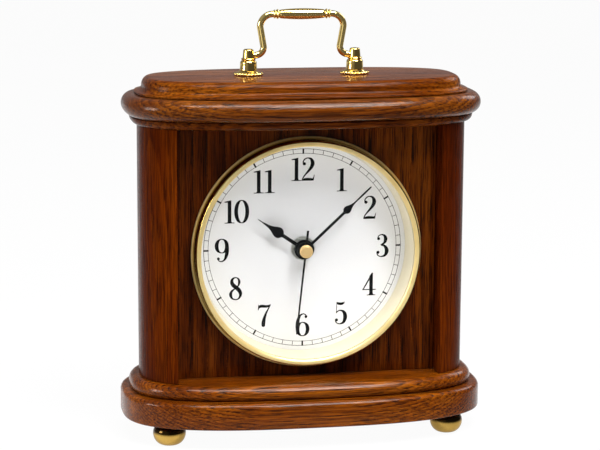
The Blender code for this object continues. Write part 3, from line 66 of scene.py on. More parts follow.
class Graph:
    """Short ways to add nodes to a shader tree."""

    def __init__(self, tree):
        self.tree = tree

    def put(self, socket, value):
        if isinstance(value, bpy.types.NodeSocket):
            self.tree.links.new(value, socket)
        elif isinstance(value, tuple) and len(value) == 3 and socket.type == "RGBA":
            socket.default_value = (*value, 1.0)
        else:
            socket.default_value = value

    def add(self, kind, inputs=(), **settings):
        node = self.tree.nodes.new(kind)
        for key, value in settings.items():
            setattr(node, key, value)
        for key, value in dict(inputs).items():
            self.put(node.inputs[key], value)
        return node

    def place(self, scale=(1, 1, 1), shift=(0, 0, 0)):
        where = self.add("ShaderNodeTexCoord").outputs["Object"]
        return self.add(
            "ShaderNodeMapping", {"Vector": where, "Scale": scale, "Location": shift}
        ).outputs[0]

    def axes(self, where):
        """The X, Y and Z of a vector."""
        return self.add("ShaderNodeSeparateXYZ", {0: where}).outputs

    def noise(self, where, scale, detail=2.0, rough=0.5):
        return self.add("ShaderNodeTexNoise", {
            "Vector": where, "Scale": scale, "Detail": detail, "Roughness": rough,
        }).outputs["Fac"]

    def math(self, operation, a, b, c=None):
        node = self.add("ShaderNodeMath", {0: a, 1: b}, operation=operation)
        if c is not None:
            self.put(node.inputs[2], c)
        return node.outputs[0]

    def span(self, value, low, high, at_low=0.0, at_high=1.0, **settings):
        """Maps low to at_low and high to at_high, and holds those values beyond."""
        return self.add("ShaderNodeMapRange", {
            "Value": value, "From Min": low, "From Max": high, "To Min": at_low, "To Max": at_high,
        }, **settings).outputs[0]

    def ramp(self, factor, stops):
        node = self.add("ShaderNodeValToRGB", {"Fac": factor})
        elements = node.color_ramp.elements
        while len(elements) < len(stops):
            elements.new(0.5)
        for element, (at, value) in zip(elements, stops):
            element.position = at
            colour = value if isinstance(value, tuple) else (value, value, value)
            element.color = (*colour, 1.0)
        return node.outputs["Color"]

    def mix(self, factor, a, b):
        node = self.add("ShaderNodeMix", data_type="RGBA")
        self.put(node.inputs["Factor"], factor)
        self.put(node.inputs["A"], a)
        self.put(node.inputs["B"], b)
        return node.outputs["Result"]


class Finish(Graph):
    """One Principled material."""

    def __init__(self, name, **settings):
        self.material = bpy.data.materials.new(name)
        self.material.use_nodes = True
        super().__init__(self.material.node_tree)
        self.shader = self.tree.nodes["Principled BSDF"]
        self.set(**settings)

    def set(self, **settings):
        for key, value in settings.items():
            self.put(self.shader.inputs[key.replace("_", " ").title()], value)
        return self.material

    def bump(self, height, strength, distance):
        normal = self.add("ShaderNodeBump", {
            "Height": height, "Strength": strength, "Distance": distance,
        }).outputs["Normal"]
        self.put(self.shader.inputs["Normal"], normal)


def wood(name, grain, tones, heart, shift, ring, open_grain=1.0, coat=0.05, figure=0.030, gloss=0.16):
    """Stained open-grained wood under satin lacquer, with its grain along x or z.

    The tones are pale, middle, deep and pore. The growth rings lie round a pith at minus heart;
    ring sets how close they are, and figure how much they sway.
    """
    f = Finish(name)
    pale, mid, deep, pore = tones
    lengthwise = grain == "x"

    def cells(stretch):
        return f.place((stretch, 1, 1) if lengthwise else (1, 1, stretch), shift)

    broad_cells = cells(0.16)
    sway = f.math("MULTIPLY", f.noise(broad_cells, 20.0), figure)
    side, up = (0.0, sway) if lengthwise else (sway, 0.0)
    offset = f.add("ShaderNodeCombineXYZ", {"X": side, "Y": sway, "Z": up}).outputs[0]
    swayed = f.add(
        "ShaderNodeVectorMath", {0: f.place(shift=heart), 1: offset}, operation="ADD"
    ).outputs[0]
    rings = f.add("ShaderNodeTexWave", {
        "Vector": swayed, "Scale": ring, "Distortion": 0.8, "Detail": 2.0, "Detail Scale": 10.0,
        "Detail Roughness": 0.6,
    }, wave_type="RINGS", rings_direction="X" if lengthwise else "Z", wave_profile="SAW").outputs["Fac"]
    broad = f.noise(broad_cells, 34.0, 3.0, 0.6)
    streak = f.noise(cells(0.035), 640.0, 3.0, 0.65)
    pores = f.ramp(f.noise(cells(0.034), 1500.0, 2.0, 0.60), [(0.50, 0.0), (0.57, 1.0)])
    early = f.ramp(rings, [(0.0, 1.0), (0.20, 0.60), (0.45, 0.12), (0.93, 0.06), (1.0, 1.0)])
    dark = f.math("MULTIPLY", pores, f.math("MULTIPLY_ADD", early, 0.50 * open_grain, 0.50))
    body = f.ramp(f.math("MULTIPLY_ADD", rings, 0.14, f.math("MULTIPLY", broad, 0.88)),
                  [(0.26, deep), (0.48, mid), (0.74, pale)])
    body = f.mix(f.ramp(streak, [(0.44, 0.0), (0.68, 0.70)]), body, deep)
    body = f.mix(f.math("MULTIPLY", early, 0.30 * open_grain), body, deep)
    colour = f.mix(f.math("MINIMUM", dark, 0.94), body, pore)
    f.bump(f.math("MULTIPLY_ADD", dark, -1.0, f.math("MULTIPLY", streak, 0.25)), 0.30, 0.00025)
    rough = f.math("MULTIPLY_ADD", dark, 0.14, f.math("MULTIPLY_ADD", broad, 0.06, 0.11))
    f.put(f.shader.inputs["Specular IOR Level"], gloss)
    f.set(specular_tint=(1.0, 0.76, 0.60), coat_weight=coat, coat_roughness=0.12)
    return f.set(base_color=colour, roughness=rough)


def brass(name, tint, low=0.07, high=0.16, metallic=1.0, painted_dark_band=None):
    """Brass with faint handling marks and a roughness that runs from low to high.

    Where a painted dark band is given, the colour darkens from one height to another: a painted dark
    reflection.
    """
    f = Finish(name, metallic=metallic)
    cloud = f.noise(f.place(), 90.0, 3.0, 0.55)
    fine = f.noise(f.place(), 1400.0, 2.0, 0.6)
    warm = tuple(c * k for c, k in zip(tint, (0.93, 0.88, 0.78)))
    f.bump(fine, 0.02, 0.00005)
    colour = f.mix(f.ramp(cloud, [(0.42, 0.0), (0.75, 1.0)]), tint, warm)
    # Painted dark reflection: the colour darkens above the given heights.
    if painted_dark_band:
        height = f.math("MULTIPLY_ADD", cloud, 0.0006, f.axes(f.place())["Z"])
        reach = f.span(height, *painted_dark_band, interpolation_type="SMOOTHSTEP")
        colour = f.mix(reach, colour, (0.060, 0.034, 0.010))
    return f.set(base_color=colour, roughness=f.math("MULTIPLY_ADD", cloud, high - low, low))


def grained(name, colour, rough, scale, bump, metallic=0.0, spread=0.10, specular=0.5):
    """A plain moulded, painted or cast surface with a fine grain and slight changes of tone."""
    f = Finish(name, metallic=metallic)
    cloud = f.noise(f.place(), 55.0)
    fine = f.noise(f.place(), scale, 2.0, 0.6)
    worn = tuple(min(1.0, c * (1 + spread)) for c in colour)
    faded = tuple(c * (1 - spread) for c in colour)
    f.bump(fine, bump, 0.0001)
    f.put(f.shader.inputs["Specular IOR Level"], specular)
    return f.set(base_color=f.mix(cloud, faded, worn),
                 roughness=f.math("MULTIPLY_ADD", fine, 0.12, rough - 0.06))


MOULDING = wood(
    "moulding_wood", "x",
    ((0.300, 0.084, 0.003), (0.155, 0.033, 0.0008), (0.036, 0.005, 0.0003), (0.008, 0.0015, 0.0003)),
    heart=(0, -0.12, 0.14), shift=(0.3, 0.1, 0.2), ring=210.0, figure=0.010, coat=0.14, gloss=0.16)
CORNICE = wood(
    "cornice_wood", "x",
    ((0.212, 0.060, 0.004), (0.094, 0.020, 0.0010), (0.026, 0.004, 0.0003), (0.006, 0.0012, 0.0003)),
    heart=(0, -0.10, 0.02), shift=(1.3, 0.4, 0.7), ring=150.0, figure=0.014, coat=0.11, gloss=0.18)
TOP_WOOD = wood(
    "top_wood", "x",
    ((0.262, 0.077, 0.005), (0.130, 0.029, 0.0012), (0.042, 0.006, 0.0003), (0.008, 0.0015, 0.0003)),
    heart=(0, 0.02, -0.27), shift=(2.1, 0.9, 0.1), ring=150.0, figure=0.018, coat=0.03, gloss=0.06)
POST_WOOD = wood(
    "post_wood", "z",
    ((0.115, 0.021, 0.0010), (0.068, 0.0095, 0.0006), (0.034, 0.0042, 0.0004), (0.008, 0.0015, 0.0003)),
    heart=(0.14, 0.12, 0), shift=(0.7, 2.2, 0.4), ring=120.0, open_grain=0.55, coat=0.0, gloss=0.014)
PANEL_WOOD = wood(
    "panel_wood", "z",
    ((0.150, 0.034, 0.0018), (0.081, 0.0135, 0.0007), (0.012, 0.0016, 0.0002), (0.005, 0.0012, 0.0003)),
    heart=(0.02, 0.16, 0), shift=(3.7, 1.2, 2.4), ring=110.0, figure=0.012, open_grain=1.25, gloss=0.10)
# A darker copy of the wood for the cornice moulding: painted shade, standing for the shadow that the cornice
# board casts on it.
PAINTED_SHADE_WOOD = wood(
    "painted_shade_wood", "x",
    ((0.130, 0.030, 0.0018), (0.068, 0.012, 0.0007), (0.024, 0.0035, 0.0003), (0.005, 0.0010, 0.0002)),
    heart=(0, 0.09, -0.165), shift=(0.3, 1.4, 2.7), ring=120.0, coat=0.02, gloss=0.06)
PLYWOOD = wood(
    "ply_wood", "x",
    ((0.330, 0.150, 0.060), (0.250, 0.105, 0.040), (0.170, 0.065, 0.022), (0.070, 0.026, 0.010)),
    heart=(0, 0.3, 0.1), shift=(5.2, 1.4, 0.3), ring=30.0, open_grain=0.6)
BRASS = brass("polished_brass", (0.84, 0.60, 0.19))
# The feet: a darker copy of the brass, painted shade, whose upper part darkens further as a painted
# reflection of the plinth's dark underside.
SHADED_FOOT_BRASS = brass("shaded_foot_brass", (0.58, 0.37, 0.09), low=0.07, high=0.14, painted_dark_band=(0.0066, 0.0086))
SATIN_BRASS = grained("satin_brass", (0.92, 0.64, 0.28), rough=0.42, scale=1400.0, bump=0.04, metallic=0.50)
STEEL = grained("plated_steel", (0.56, 0.56, 0.55), rough=0.30, scale=1600.0, bump=0.04, metallic=1.0)
# A paler, less metallic copy of the steel for the washer and nut: painted light, so they show where they sit
# in the hub's shade.
BRIGHTENED_WASHER_STEEL = grained("washer_steel", (0.80, 0.82, 0.77), rough=0.34, scale=1600.0, bump=0.04, metallic=0.9)
RIM_BRASS = brass("rim_brass", (0.92, 0.72, 0.32), low=0.28, high=0.36, metallic=0.60)
# A darker copy of the brass for the bezel's swept side: painted dark reflection of the wood round it.
SHADED_SIDE_BRASS = brass("shaded_side_brass", (0.40, 0.29, 0.09), low=0.05, high=0.10)
# A paler, less metallic copy of the brass for the handle bail: painted light, standing for the bright
# reflections along its legs.
BRIGHTENED_BAIL_BRASS = brass("bail_brass", (0.92, 0.69, 0.25), low=0.06, high=0.11, metallic=0.96)
DARK_STEEL = grained("stator_steel", (0.30, 0.30, 0.31), rough=0.42, scale=1200.0, bump=0.06, metallic=1.0)
CREAM = grained("cream_lacquer", (0.73, 0.66, 0.47), rough=0.34, scale=1500.0, bump=0.04, spread=0.03)
DIAL_WHITE = grained("dial_white", (0.90, 0.905, 0.92), rough=0.55, scale=2200.0, bump=0.05, spread=0.015)
INK = grained("dial_ink", (0.004, 0.004, 0.005), rough=0.55, scale=2600.0, bump=0.05, specular=0.08)
BLACK = grained("black_lacquer", (0.004, 0.004, 0.005), rough=0.40, scale=1500.0, bump=0.05, specular=0.14)
PLASTIC = grained("black_plastic", (0.020, 0.020, 0.022), rough=0.50, scale=2400.0, bump=0.25)
GEAR = grained("gear_plastic", (0.74, 0.71, 0.62), rough=0.42, scale=1600.0, bump=0.06)
MAGNET = grained("rotor_magnet", (0.10, 0.095, 0.10), rough=0.50, scale=1600.0, bump=0.06, metallic=0.2)
BOARD_GREEN = grained("circuit_green", (0.015, 0.120, 0.045), rough=0.38, scale=1800.0, bump=0.08)


def coil_copper():
    """Fine enamelled wire wound round x."""
    f = Finish("coil_copper", metallic=1.0)
    turns = f.add("ShaderNodeTexWave", {"Vector": f.place(), "Scale": 1300.0, "Distortion": 0.3},
                  bands_direction="X").outputs["Fac"]
    f.bump(turns, 0.5, 0.00008)
    return f.set(base_color=f.mix(turns, (0.30, 0.10, 0.04), (0.66, 0.28, 0.12)), roughness=0.32)


def battery_jacket():
    """A plain printed sleeve: dark, with one copper band at the positive end."""
    f = Finish("battery_jacket", metallic=0.6)
    along = f.axes(f.place())["X"]
    band = f.ramp(f.math("MULTIPLY_ADD", along, 10.0, 0.5), [(0.60, 0.0), (0.605, 1.0)])
    fine = f.noise(f.place(), 1200.0)
    f.bump(fine, 0.03, 0.0001)
    return f.set(base_color=f.mix(band, (0.020, 0.022, 0.028), (0.52, 0.26, 0.10)),
                 roughness=f.math("MULTIPLY_ADD", fine, 0.10, 0.24))


def lens():
    """Clear flat glass, almost unseen from the front."""
    f = Finish("clear_glass", base_color=(0.03, 0.035, 0.033), alpha=0.06)
    f.bump(f.noise(f.place(), 12.0, 1.0), 0.01, 0.0002)
    return f.set(roughness=f.math("MULTIPLY_ADD", f.noise(f.place(), 400.0), 0.02, 0.02))


COPPER = coil_copper()
JACKET = battery_jacket()
GLASS = lens()


# Meshes

def link_mesh(name, bm):
    """A new object in the scene, from a bmesh that isn't needed after it."""
    mesh = bpy.data.meshes.new(name)
    bm.to_mesh(mesh)
    bm.free()
    made = bpy.data.objects.new(name, mesh)
    bpy.context.scene.collection.objects.link(made)
    return made


def put_piece(name, bm, material, node=None, body="case", *, sharp_deg=None):
    """Makes a piece that rides on a body, and stands for a CAD node where one is named.

    Edges steeper than sharp_deg stay sharp. Without it the whole piece is shaded flat.
    """
    bmesh.ops.recalc_face_normals(bm, faces=bm.faces[:])
    piece = link_mesh(name, bm)
    for one in material if isinstance(material, list) else [material]:
        piece.data.materials.append(one)
    if sharp_deg:
        piece.data.shade_smooth()
        piece.data.set_sharp_from_angle(angle=math.radians(sharp_deg))
    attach(piece, body)
    if node:
        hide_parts(node)
    return piece


def skin(bm, rings):
    """A closed solid through rings of the same length."""
    rows = [[bm.verts.new(p) for p in ring] for ring in rings]
    count = len(rows[0])
    for lower, upper in zip(rows, rows[1:]):
        for i in range(count):
            j = (i + 1) % count
            bm.faces.new((lower[i], lower[j], upper[j], upper[i]))
    bm.faces.new(rows[0][::-1])
    bm.faces.new(rows[-1])


def ring_path(cx, cy, rx, ry, count):
    """Points round a whole ellipse."""
    turns = (FULL_TURN * i / count for i in range(count))
    return [(cx + rx * math.cos(t), cy + ry * math.sin(t)) for t in turns]


def spin(bm, profile, to_world, steps, material_of=lambda band: 0):
    """Turns (radius, height) points about an axis. A point at radius 0 becomes a pole."""
    rows = []
    for radius, height in profile:
        ring = ring_path(0.0, 0.0, radius, radius, steps) if radius > 0 else [(0.0, 0.0)]
        rows.append([bm.verts.new(to_world(a, b, height)) for a, b in ring])
    pairs = list(zip(rows, rows[1:]))
    if len(rows[0]) > 1 and len(rows[-1]) > 1:
        pairs.append((rows[-1], rows[0]))
    for band, (a, b) in enumerate(pairs):
        for i in range(steps):
            j = (i + 1) % steps
            corners = [a[i % len(a)], a[j % len(a)], b[j % len(b)], b[i % len(b)]]
            kept = [c for k, c in enumerate(corners) if c not in corners[:k]]
            if len(kept) > 2:
                bm.faces.new(kept).material_index = material_of(band)


def upright(x, y):
    """A turned piece's own axis points up, through (x, y)."""
    return lambda a, b, h: (x + a, y + b, h)


def from_dial(a, b, h):
    """A turned piece's own axis points at the viewer, from the face of the dial."""
    return (AXIS[0] + a, DIAL_FACE - h, AXIS[1] + b)


def dial_size(node):
    """Half the width of a CAD node, and how far its front and rear stand off the dial."""
    low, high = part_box(node)
    return (high.x - low.x) / 2, DIAL_FACE - low.y, DIAL_FACE - high.y


def arc(cx, cy, rx, ry, start, end, steps):
    """Points on part of an ellipse, from one angle to another in degrees."""
    turns = (math.radians(start + (end - start) * i / steps) for i in range(steps + 1))
    return [(cx + rx * math.cos(t), cy + ry * math.sin(t)) for t in turns]


def oval(half_width, half_depth, inset=0.0, count=232):
    """Points on the case's superellipse, moved in by an inset along its normal."""
    found = []
    for i in range(count):
        t = FULL_TURN * i / count
        c, s = math.cos(t), math.sin(t)
        x = math.copysign(abs(c) ** (2 / OVAL_POWER), c) * half_width
        y = math.copysign(abs(s) ** (2 / OVAL_POWER), s) * half_depth
        nx = math.copysign(abs(x / half_width) ** (OVAL_POWER - 1), x) / half_width
        ny = math.copysign(abs(y / half_depth) ** (OVAL_POWER - 1), y) / half_depth
        length = math.hypot(nx, ny)
        found.append((x - inset * nx / length, y - inset * ny / length))
    return found


def quarter(steps):
    """Angles from just past 0 to 90 degrees, in radians."""
    return [math.radians(90 * i / steps) for i in range(1, steps + 1)]


def board(node, profile, material):
    """An oval moulded board through (inset, height) rings, in the CAD node's box."""
    low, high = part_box(node)
    bm = bmesh.new()
    skin(bm, [[(x, y, low.z + h) for x, y in oval(high.x, high.y, inset)] for inset, h in profile])
    put_piece(node + "_wood", bm, material, node, sharp_deg=32)


def thickness(node):
    """How tall a CAD node is."""
    low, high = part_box(node)
    return high.z - low.z


def make_boards():
    """The two boards of the base and the three of the cornice."""
    top = thickness("base_plinth")
    under, eased = 0.0012, 0.0030
    board("base_plinth",
          arc(under, under, -under, -under, 90, 0, 4) + arc(eased, top - eased, -eased, eased, 0, 90, 8),
          MOULDING)
    top = thickness("base_moulding")
    nose, foot = top / 3, 0.0016
    board("base_moulding",
          arc(foot, nose, -foot, -nose, 90, 0, 5)[:-1]
          + arc(top - nose, nose, nose - top, top - nose, 0, 90, 14), MOULDING)
    top = thickness("cornice_moulding")
    proud, swept, lip = 0.0043, 0.86 * top, 0.0003
    # The cornice moulding takes the darker wood: painted shade under the cornice board.
    board("cornice_moulding",
          [(proud * (1 - math.sin(t)), swept * (1 - math.cos(t))) for t in [0.0] + quarter(12)]
          + [(0, top - lip), (lip, top)], PAINTED_SHADE_WOOD)
    half = thickness("cornice_board") / 2
    board("cornice_board", arc(half, half, -half, half, -90, 90, 22), CORNICE)
    step, cove_w, cove_h, round_w = 0.0012, 0.0042, 0.0026, 0.0045
    round_h = thickness("top_board") - step - cove_h
    board("top_board",
          [(0.0002, 0), (0, 0.0002), (0, step - 0.0003), (0.0003, step)]
          + [(cove_w * math.sin(t), step + cove_h * (1 - math.cos(t))) for t in quarter(8)]
          + arc(cove_w + round_w, step + cove_h, -round_w, round_h, 0, 90, 12)[1:], TOP_WOOD)


def make_posts():
    """End posts with the oval's own curve, eased corners and the rebate for the back."""
    half_depth, ease = 0.0410, 0.0011
    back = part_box("back_panel")
    shoulder, rebate = back[0].y - SEAM, abs(back[1].x) + SEAM
    for side, sign in (("left", -1), ("right", 1)):
        node = "end_post_" + side
        low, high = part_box(node)
        inner, outer = sorted((abs(low.x), abs(high.x)))
        curve = sorted((p for p in oval(outer, half_depth, count=420) if p[0] > 0), key=lambda p: p[1])
        front = min(y for x, y in curve if x > inner)
        outline = [
            (inner, shoulder), (inner + 0.0002, front + ease + 0.0006),
            (inner + 0.0003, front + 0.6 * ease), (inner + 0.45 * ease, front + 0.22 * ease),
        ]
        outline += [(x, y) for x, y in curve
                    if x > inner + ease and y < high.y - 1e-5 and (y < 0 or x > rebate)]
        outline += [(rebate, high.y), (rebate, shoulder)]
        bm = bmesh.new()
        skin(bm, [[(sign * x, y, z) for x, y in outline] for z in (low.z, high.z)])
        put_piece(node + "_wood", bm, POST_WOOD, node, sharp_deg=28)


def make_feet():
    """Flattened balls that are widest above their middle, on a short neck."""
    neck, flat, bore = 0.0062, 0.0035, 0.002
    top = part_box("base_plinth")[0].z - SEAM
    widest = top * 0.60
    for name in ("foot_front_left", "foot_front_right", "foot_rear_left", "foot_rear_right"):
        low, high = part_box(name)
        radius = (high.x - low.x) / 2
        profile = [(0, high.z), (bore, high.z), (bore, top), (neck - 0.0003, top), (neck, top - 0.0002)]
        profile += arc(neck, widest, radius - neck, top - widest - 0.0004, 80, 0, 10)
        profile += [(flat + (radius - flat) * math.cos(t), widest * (1 - math.sin(t))) for t in quarter(12)]
        profile += [(0, 0)]
        bm = bmesh.new()
        spin(bm, profile, upright((low.x + high.x) / 2, (low.y + high.y) / 2), steps=64)
        put_piece(name + "_brass", bm, SHADED_FOOT_BRASS, name, sharp_deg=50)


def make_bezel():
    """The spun ring: fine outer bead, swept side, crest, and the lip that slopes in to the glass."""
    outer, top, _ = dial_size("bezel_ring")
    rim = dial_size("front_panel")[1] + SEAM
    skirt, seat = (size + SEAM for size in dial_size("glass_lens")[:2])
    skirt_wall, skirt_end = 0.0008, -0.001
    lip, crest, side = outer - 0.0051, outer - 0.0026, outer - 0.0010
    shoulder, fall = crest + 0.0007, top - 0.0007
    profile = [(lip, seat), (lip, top - 0.0010), (lip + 0.0002, top - 0.0008)]
    profile += [(lip + (crest - lip) * k, top - 0.0008 * (1 - math.sin(k * math.pi / 2)))
                for k in (0.2, 0.45, 0.7, 0.88, 1.0)]
    lip_end = len(profile) - 1
    profile += [(crest + 0.0004, top - 0.0002), (shoulder, fall)]
    crest_end = len(profile) - 1
    profile += [(shoulder + (side - shoulder) * k ** 1.5, fall - (fall - rim - 0.0014) * k)
                for k in (0.12, 0.3, 0.5, 0.7, 0.85, 1.0)]
    side_end = len(profile) - 1
    bead = 0.0007
    profile += [(outer - 0.0005 + 0.0005 * math.sin(t), rim + bead + bead * math.cos(t))
                for t in (math.radians(a) for a in (-55, -25, 5, 35, 65, 90, 130))]
    profile += [(outer - 0.0003, rim), (skirt + skirt_wall, rim), (skirt + skirt_wall, skirt_end),
                (skirt, skirt_end), (skirt, seat)]

    # The swept side takes the darker brass, a painted dark reflection.
    def material_of(band):
        if lip_end <= band < crest_end:
            return 0
        return 2 if crest_end <= band < side_end else 1

    bm = bmesh.new()
    spin(bm, profile, from_dial, steps=160, material_of=material_of)
    put_piece("bezel_brass", bm, [BRASS, RIM_BRASS, SHADED_SIDE_BRASS], "bezel_ring", sharp_deg=40)


def make_glass_and_dial():
    """The flat glass, the cream wall that slopes in behind its rim, and the dial."""
    radius, front, rear = dial_size("glass_lens")
    edge = 0.0003
    bm = bmesh.new()
    spin(bm, [(0, front), (radius - edge, front), (radius, front - edge), (radius, rear + edge),
              (radius - edge, rear), (0, rear)], from_dial, steps=128)
    put_piece("glass_pane", bm, GLASS, "glass_lens", sharp_deg=30)

    _, front, base = dial_size("reflector_ring")
    wide, eased, swept = radius - 0.0011, 0.0002, 0.0012
    wall, drop = wide - eased, front - 0.0004
    profile = [(wide, front), (wall, drop)]
    profile += [(wall - swept * k ** 1.2, drop - (front - base - 0.0008) * k) for k in (0.25, 0.5, 0.75, 1.0)]
    profile += [(wall - swept, base), (radius, base), (radius, front)]
    bm = bmesh.new()
    spin(bm, profile, from_dial, steps=160)
    put_piece("reflector_wall", bm, CREAM, "reflector_ring", sharp_deg=40)

    radius, _, back = dial_size("dial_plate")
    hole, edge = 0.0041, 0.0002
    bm = bmesh.new()
    spin(bm, [(hole, 0), (radius * 0.5, 0), (radius - edge, 0), (radius, -edge), (radius, back),
              (hole, back)], from_dial, steps=128)
    put_piece("dial_card", bm, DIAL_WHITE, "dial_plate", sharp_deg=40)


# Dial numbers, drawn as pen strokes in a box one unit high

def smooth_path(points, closed):
    """A Catmull-Rom curve through (x, y) or (x, y, width) points."""
    steps = 7
    count = len(points)
    found = []
    for i in range(count if closed else count - 1):
        around = (k % count if closed else min(max(k, 0), count - 1) for k in range(i - 1, i + 3))
        p = [points[k] for k in around]
        for s in range(steps):
            t = s / steps
            found.append(tuple(
                0.5 * (2 * p[1][n] + (p[2][n] - p[0][n]) * t
                       + (2 * p[0][n] - 5 * p[1][n] + 4 * p[2][n] - p[3][n]) * t * t
                       + (3 * p[1][n] - p[0][n] - 3 * p[2][n] + p[3][n]) * t ** 3)
                for n in range(len(points[0]))
            ))
    if not closed:
        found.append(tuple(points[-1]))
    return found


def stroke(points, closed=False):
    """A band along a path. Where no width is given it is thick on upright runs and thin on level ones."""
    least, gain = 0.012, 1.12
    thick, thin, contrast = 0.165, 0.042, 2.2
    path = smooth_path(points, closed)
    count = len(path)
    left, right = [], []
    for i, point in enumerate(path):
        a = path[(i - 1) % count] if closed or i else point
        b = path[(i + 1) % count] if closed or i < count - 1 else point
        dx, dy = b[0] - a[0], b[1] - a[1]
        length = math.hypot(dx, dy) or 1.0
        dx, dy = dx / length, dy / length
        if len(point) > 2:
            width = least + gain * point[2]
        else:
            width = thin + (thick - thin) * abs(dy) ** contrast
        left.append((point[0] - dy * width / 2, point[1] + dx * width / 2))
        right.append((point[0] + dy * width / 2, point[1] - dx * width / 2))
    quads = []
    for i in range(count if closed else count - 1):
        j = (i + 1) % count
        quads.append([left[i], left[j], right[j], right[i]])
    return quads


def ball(x, y, r):
    """The round end of a stroke."""
    return [ring_path(x, y, r, r, 20)]


def drawn(path, widths):
    """A stroke with a width of its own at each point."""
    return stroke([(x, y, w) for (x, y), w in zip(path, widths)])


def turned_round(shapes, width):
    """The shapes of a digit turned by half a turn, as a 9 is a 6."""
    return [[(width - x, 1 - y) for x, y in shape] for shape in shapes]


def digit(which):
    """The filled shapes and the width of one digit. The loop at the end is the 8."""
    if which == "0":
        return stroke(ring_path(0.31, 0.5, 0.24, 0.485, 20), True), 0.62
    if which == "1":
        return [
            [(0.137, 0.02), (0.293, 0.02), (0.293, 1.0), (0.137, 0.95)],
            [(0.137, 0.95), (0.293, 1.0), (0.262, 1.0), (0.137, 0.975), (0.0, 0.945), (0.0, 0.905),
             (0.137, 0.905)],
            [(0.0, 0.0), (0.43, 0.0), (0.43, 0.036), (0.0, 0.036)],
            [(0.10, 0.036), (0.33, 0.036), (0.293, 0.08), (0.137, 0.08)],
        ], 0.43
    if which == "2":
        top = [(0.075, 0.74), (0.085, 0.85), (0.17, 0.95), (0.29, 0.982), (0.42, 0.93), (0.485, 0.78),
               (0.45, 0.62), (0.33, 0.45), (0.19, 0.29), (0.09, 0.16), (0.035, 0.045)]
        widths = [0.03, 0.035, 0.035, 0.035, 0.085, 0.140, 0.125, 0.085, 0.050, 0.038, 0.035]
        return drawn(top, widths) + ball(0.125, 0.735, 0.072) + [
            [(0.018, 0.0), (0.055, 0.0), (0.055, 0.05), (0.018, 0.05)],
            [(0.03, 0.03), (0.05, 0.0), (0.50, 0.0), (0.50, 0.095), (0.40, 0.115), (0.22, 0.125),
             (0.11, 0.105)],
            [(0.47, 0.0), (0.535, 0.0), (0.575, 0.255), (0.545, 0.255), (0.525, 0.16), (0.49, 0.105)],
        ], 0.585
    if which == "3":
        upper = [(0.085, 0.82), (0.13, 0.93), (0.26, 0.983), (0.38, 0.93), (0.435, 0.79), (0.38, 0.62),
                 (0.22, 0.53)]
        lower = [(0.22, 0.53), (0.40, 0.47), (0.49, 0.28), (0.42, 0.08), (0.25, 0.017), (0.10, 0.07),
                 (0.055, 0.18)]
        return (drawn(upper, (0.03, 0.03, 0.035, 0.085, 0.130, 0.085, 0.03))
                + drawn(lower, (0.03, 0.090, 0.145, 0.095, 0.035, 0.03, 0.03))
                + ball(0.125, 0.805, 0.066) + ball(0.100, 0.205, 0.070)), 0.57
    if which == "4":
        return [
            [(0.322, 0.0), (0.478, 0.0), (0.478, 1.0), (0.43, 1.0), (0.322, 0.86)],
            [(0.0, 0.240), (0.055, 0.240), (0.478, 0.945), (0.44, 1.0), (0.425, 1.0)],
            [(0.0, 0.240), (0.61, 0.240), (0.61, 0.282), (0.015, 0.282)],
            [(0.21, 0.0), (0.59, 0.0), (0.59, 0.036), (0.21, 0.036)],
            [(0.28, 0.036), (0.52, 0.036), (0.478, 0.08), (0.322, 0.08)],
        ], 0.60
    if which == "5":
        bowl = [(0.085, 0.50), (0.16, 0.585), (0.29, 0.615), (0.43, 0.53), (0.485, 0.33), (0.42, 0.10),
                (0.25, 0.017), (0.10, 0.07), (0.055, 0.17)]
        widths = (0.03, 0.032, 0.045, 0.110, 0.145, 0.100, 0.035, 0.03, 0.03)
        return (drawn(bowl, widths) + ball(0.100, 0.195, 0.070) + [
            [(0.075, 0.50), (0.105, 0.50), (0.130, 0.98), (0.100, 0.98)],
            [(0.100, 1.0), (0.19, 0.975), (0.30, 0.965), (0.40, 0.98), (0.475, 1.0), (0.43, 0.90),
             (0.36, 0.855), (0.27, 0.845), (0.18, 0.865), (0.115, 0.90)],
        ]), 0.57
    if which in "69":
        bowl = stroke(ring_path(0.315, 0.312, 0.222, 0.297, 18), True)
        back = [(0.475, 0.90), (0.41, 0.968), (0.32, 0.983), (0.19, 0.90), (0.105, 0.68), (0.085, 0.42),
                (0.105, 0.26)]
        widths = (0.03, 0.03, 0.035, 0.075, 0.125, 0.138, 0.120)
        six = bowl + drawn(back, widths) + ball(0.462, 0.858, 0.062)
        return (six, 0.61) if which == "6" else (turned_round(six, 0.61), 0.61)
    if which == "7":
        leg = [(0.575, 0.97), (0.50, 0.82), (0.40, 0.62), (0.32, 0.40), (0.28, 0.20), (0.275, 0.03)]
        return drawn(leg, (0.03, 0.040, 0.065, 0.105, 0.140, 0.125)) + ball(0.275, 0.062, 0.062) + [
            [(0.030, 0.745), (0.058, 0.745), (0.095, 0.83), (0.17, 0.862), (0.28, 0.855), (0.40, 0.845),
             (0.50, 0.875), (0.60, 0.975), (0.585, 1.0), (0.47, 0.965), (0.36, 0.965), (0.24, 0.995),
             (0.13, 0.985), (0.085, 0.945), (0.075, 0.995), (0.052, 0.995)],
        ], 0.60
    loop = [(0.31, 0.983, 0.035), (0.18, 0.93, 0.075), (0.135, 0.79, 0.120), (0.20, 0.655, 0.140),
            (0.33, 0.54, 0.140), (0.46, 0.41, 0.140), (0.515, 0.25, 0.110), (0.45, 0.08, 0.055),
            (0.31, 0.017, 0.035), (0.15, 0.075, 0.060), (0.085, 0.24, 0.110), (0.14, 0.39, 0.075),
            (0.29, 0.515, 0.038), (0.41, 0.62, 0.048), (0.46, 0.78, 0.085), (0.42, 0.92, 0.055)]
    return stroke(loop, True), 0.60


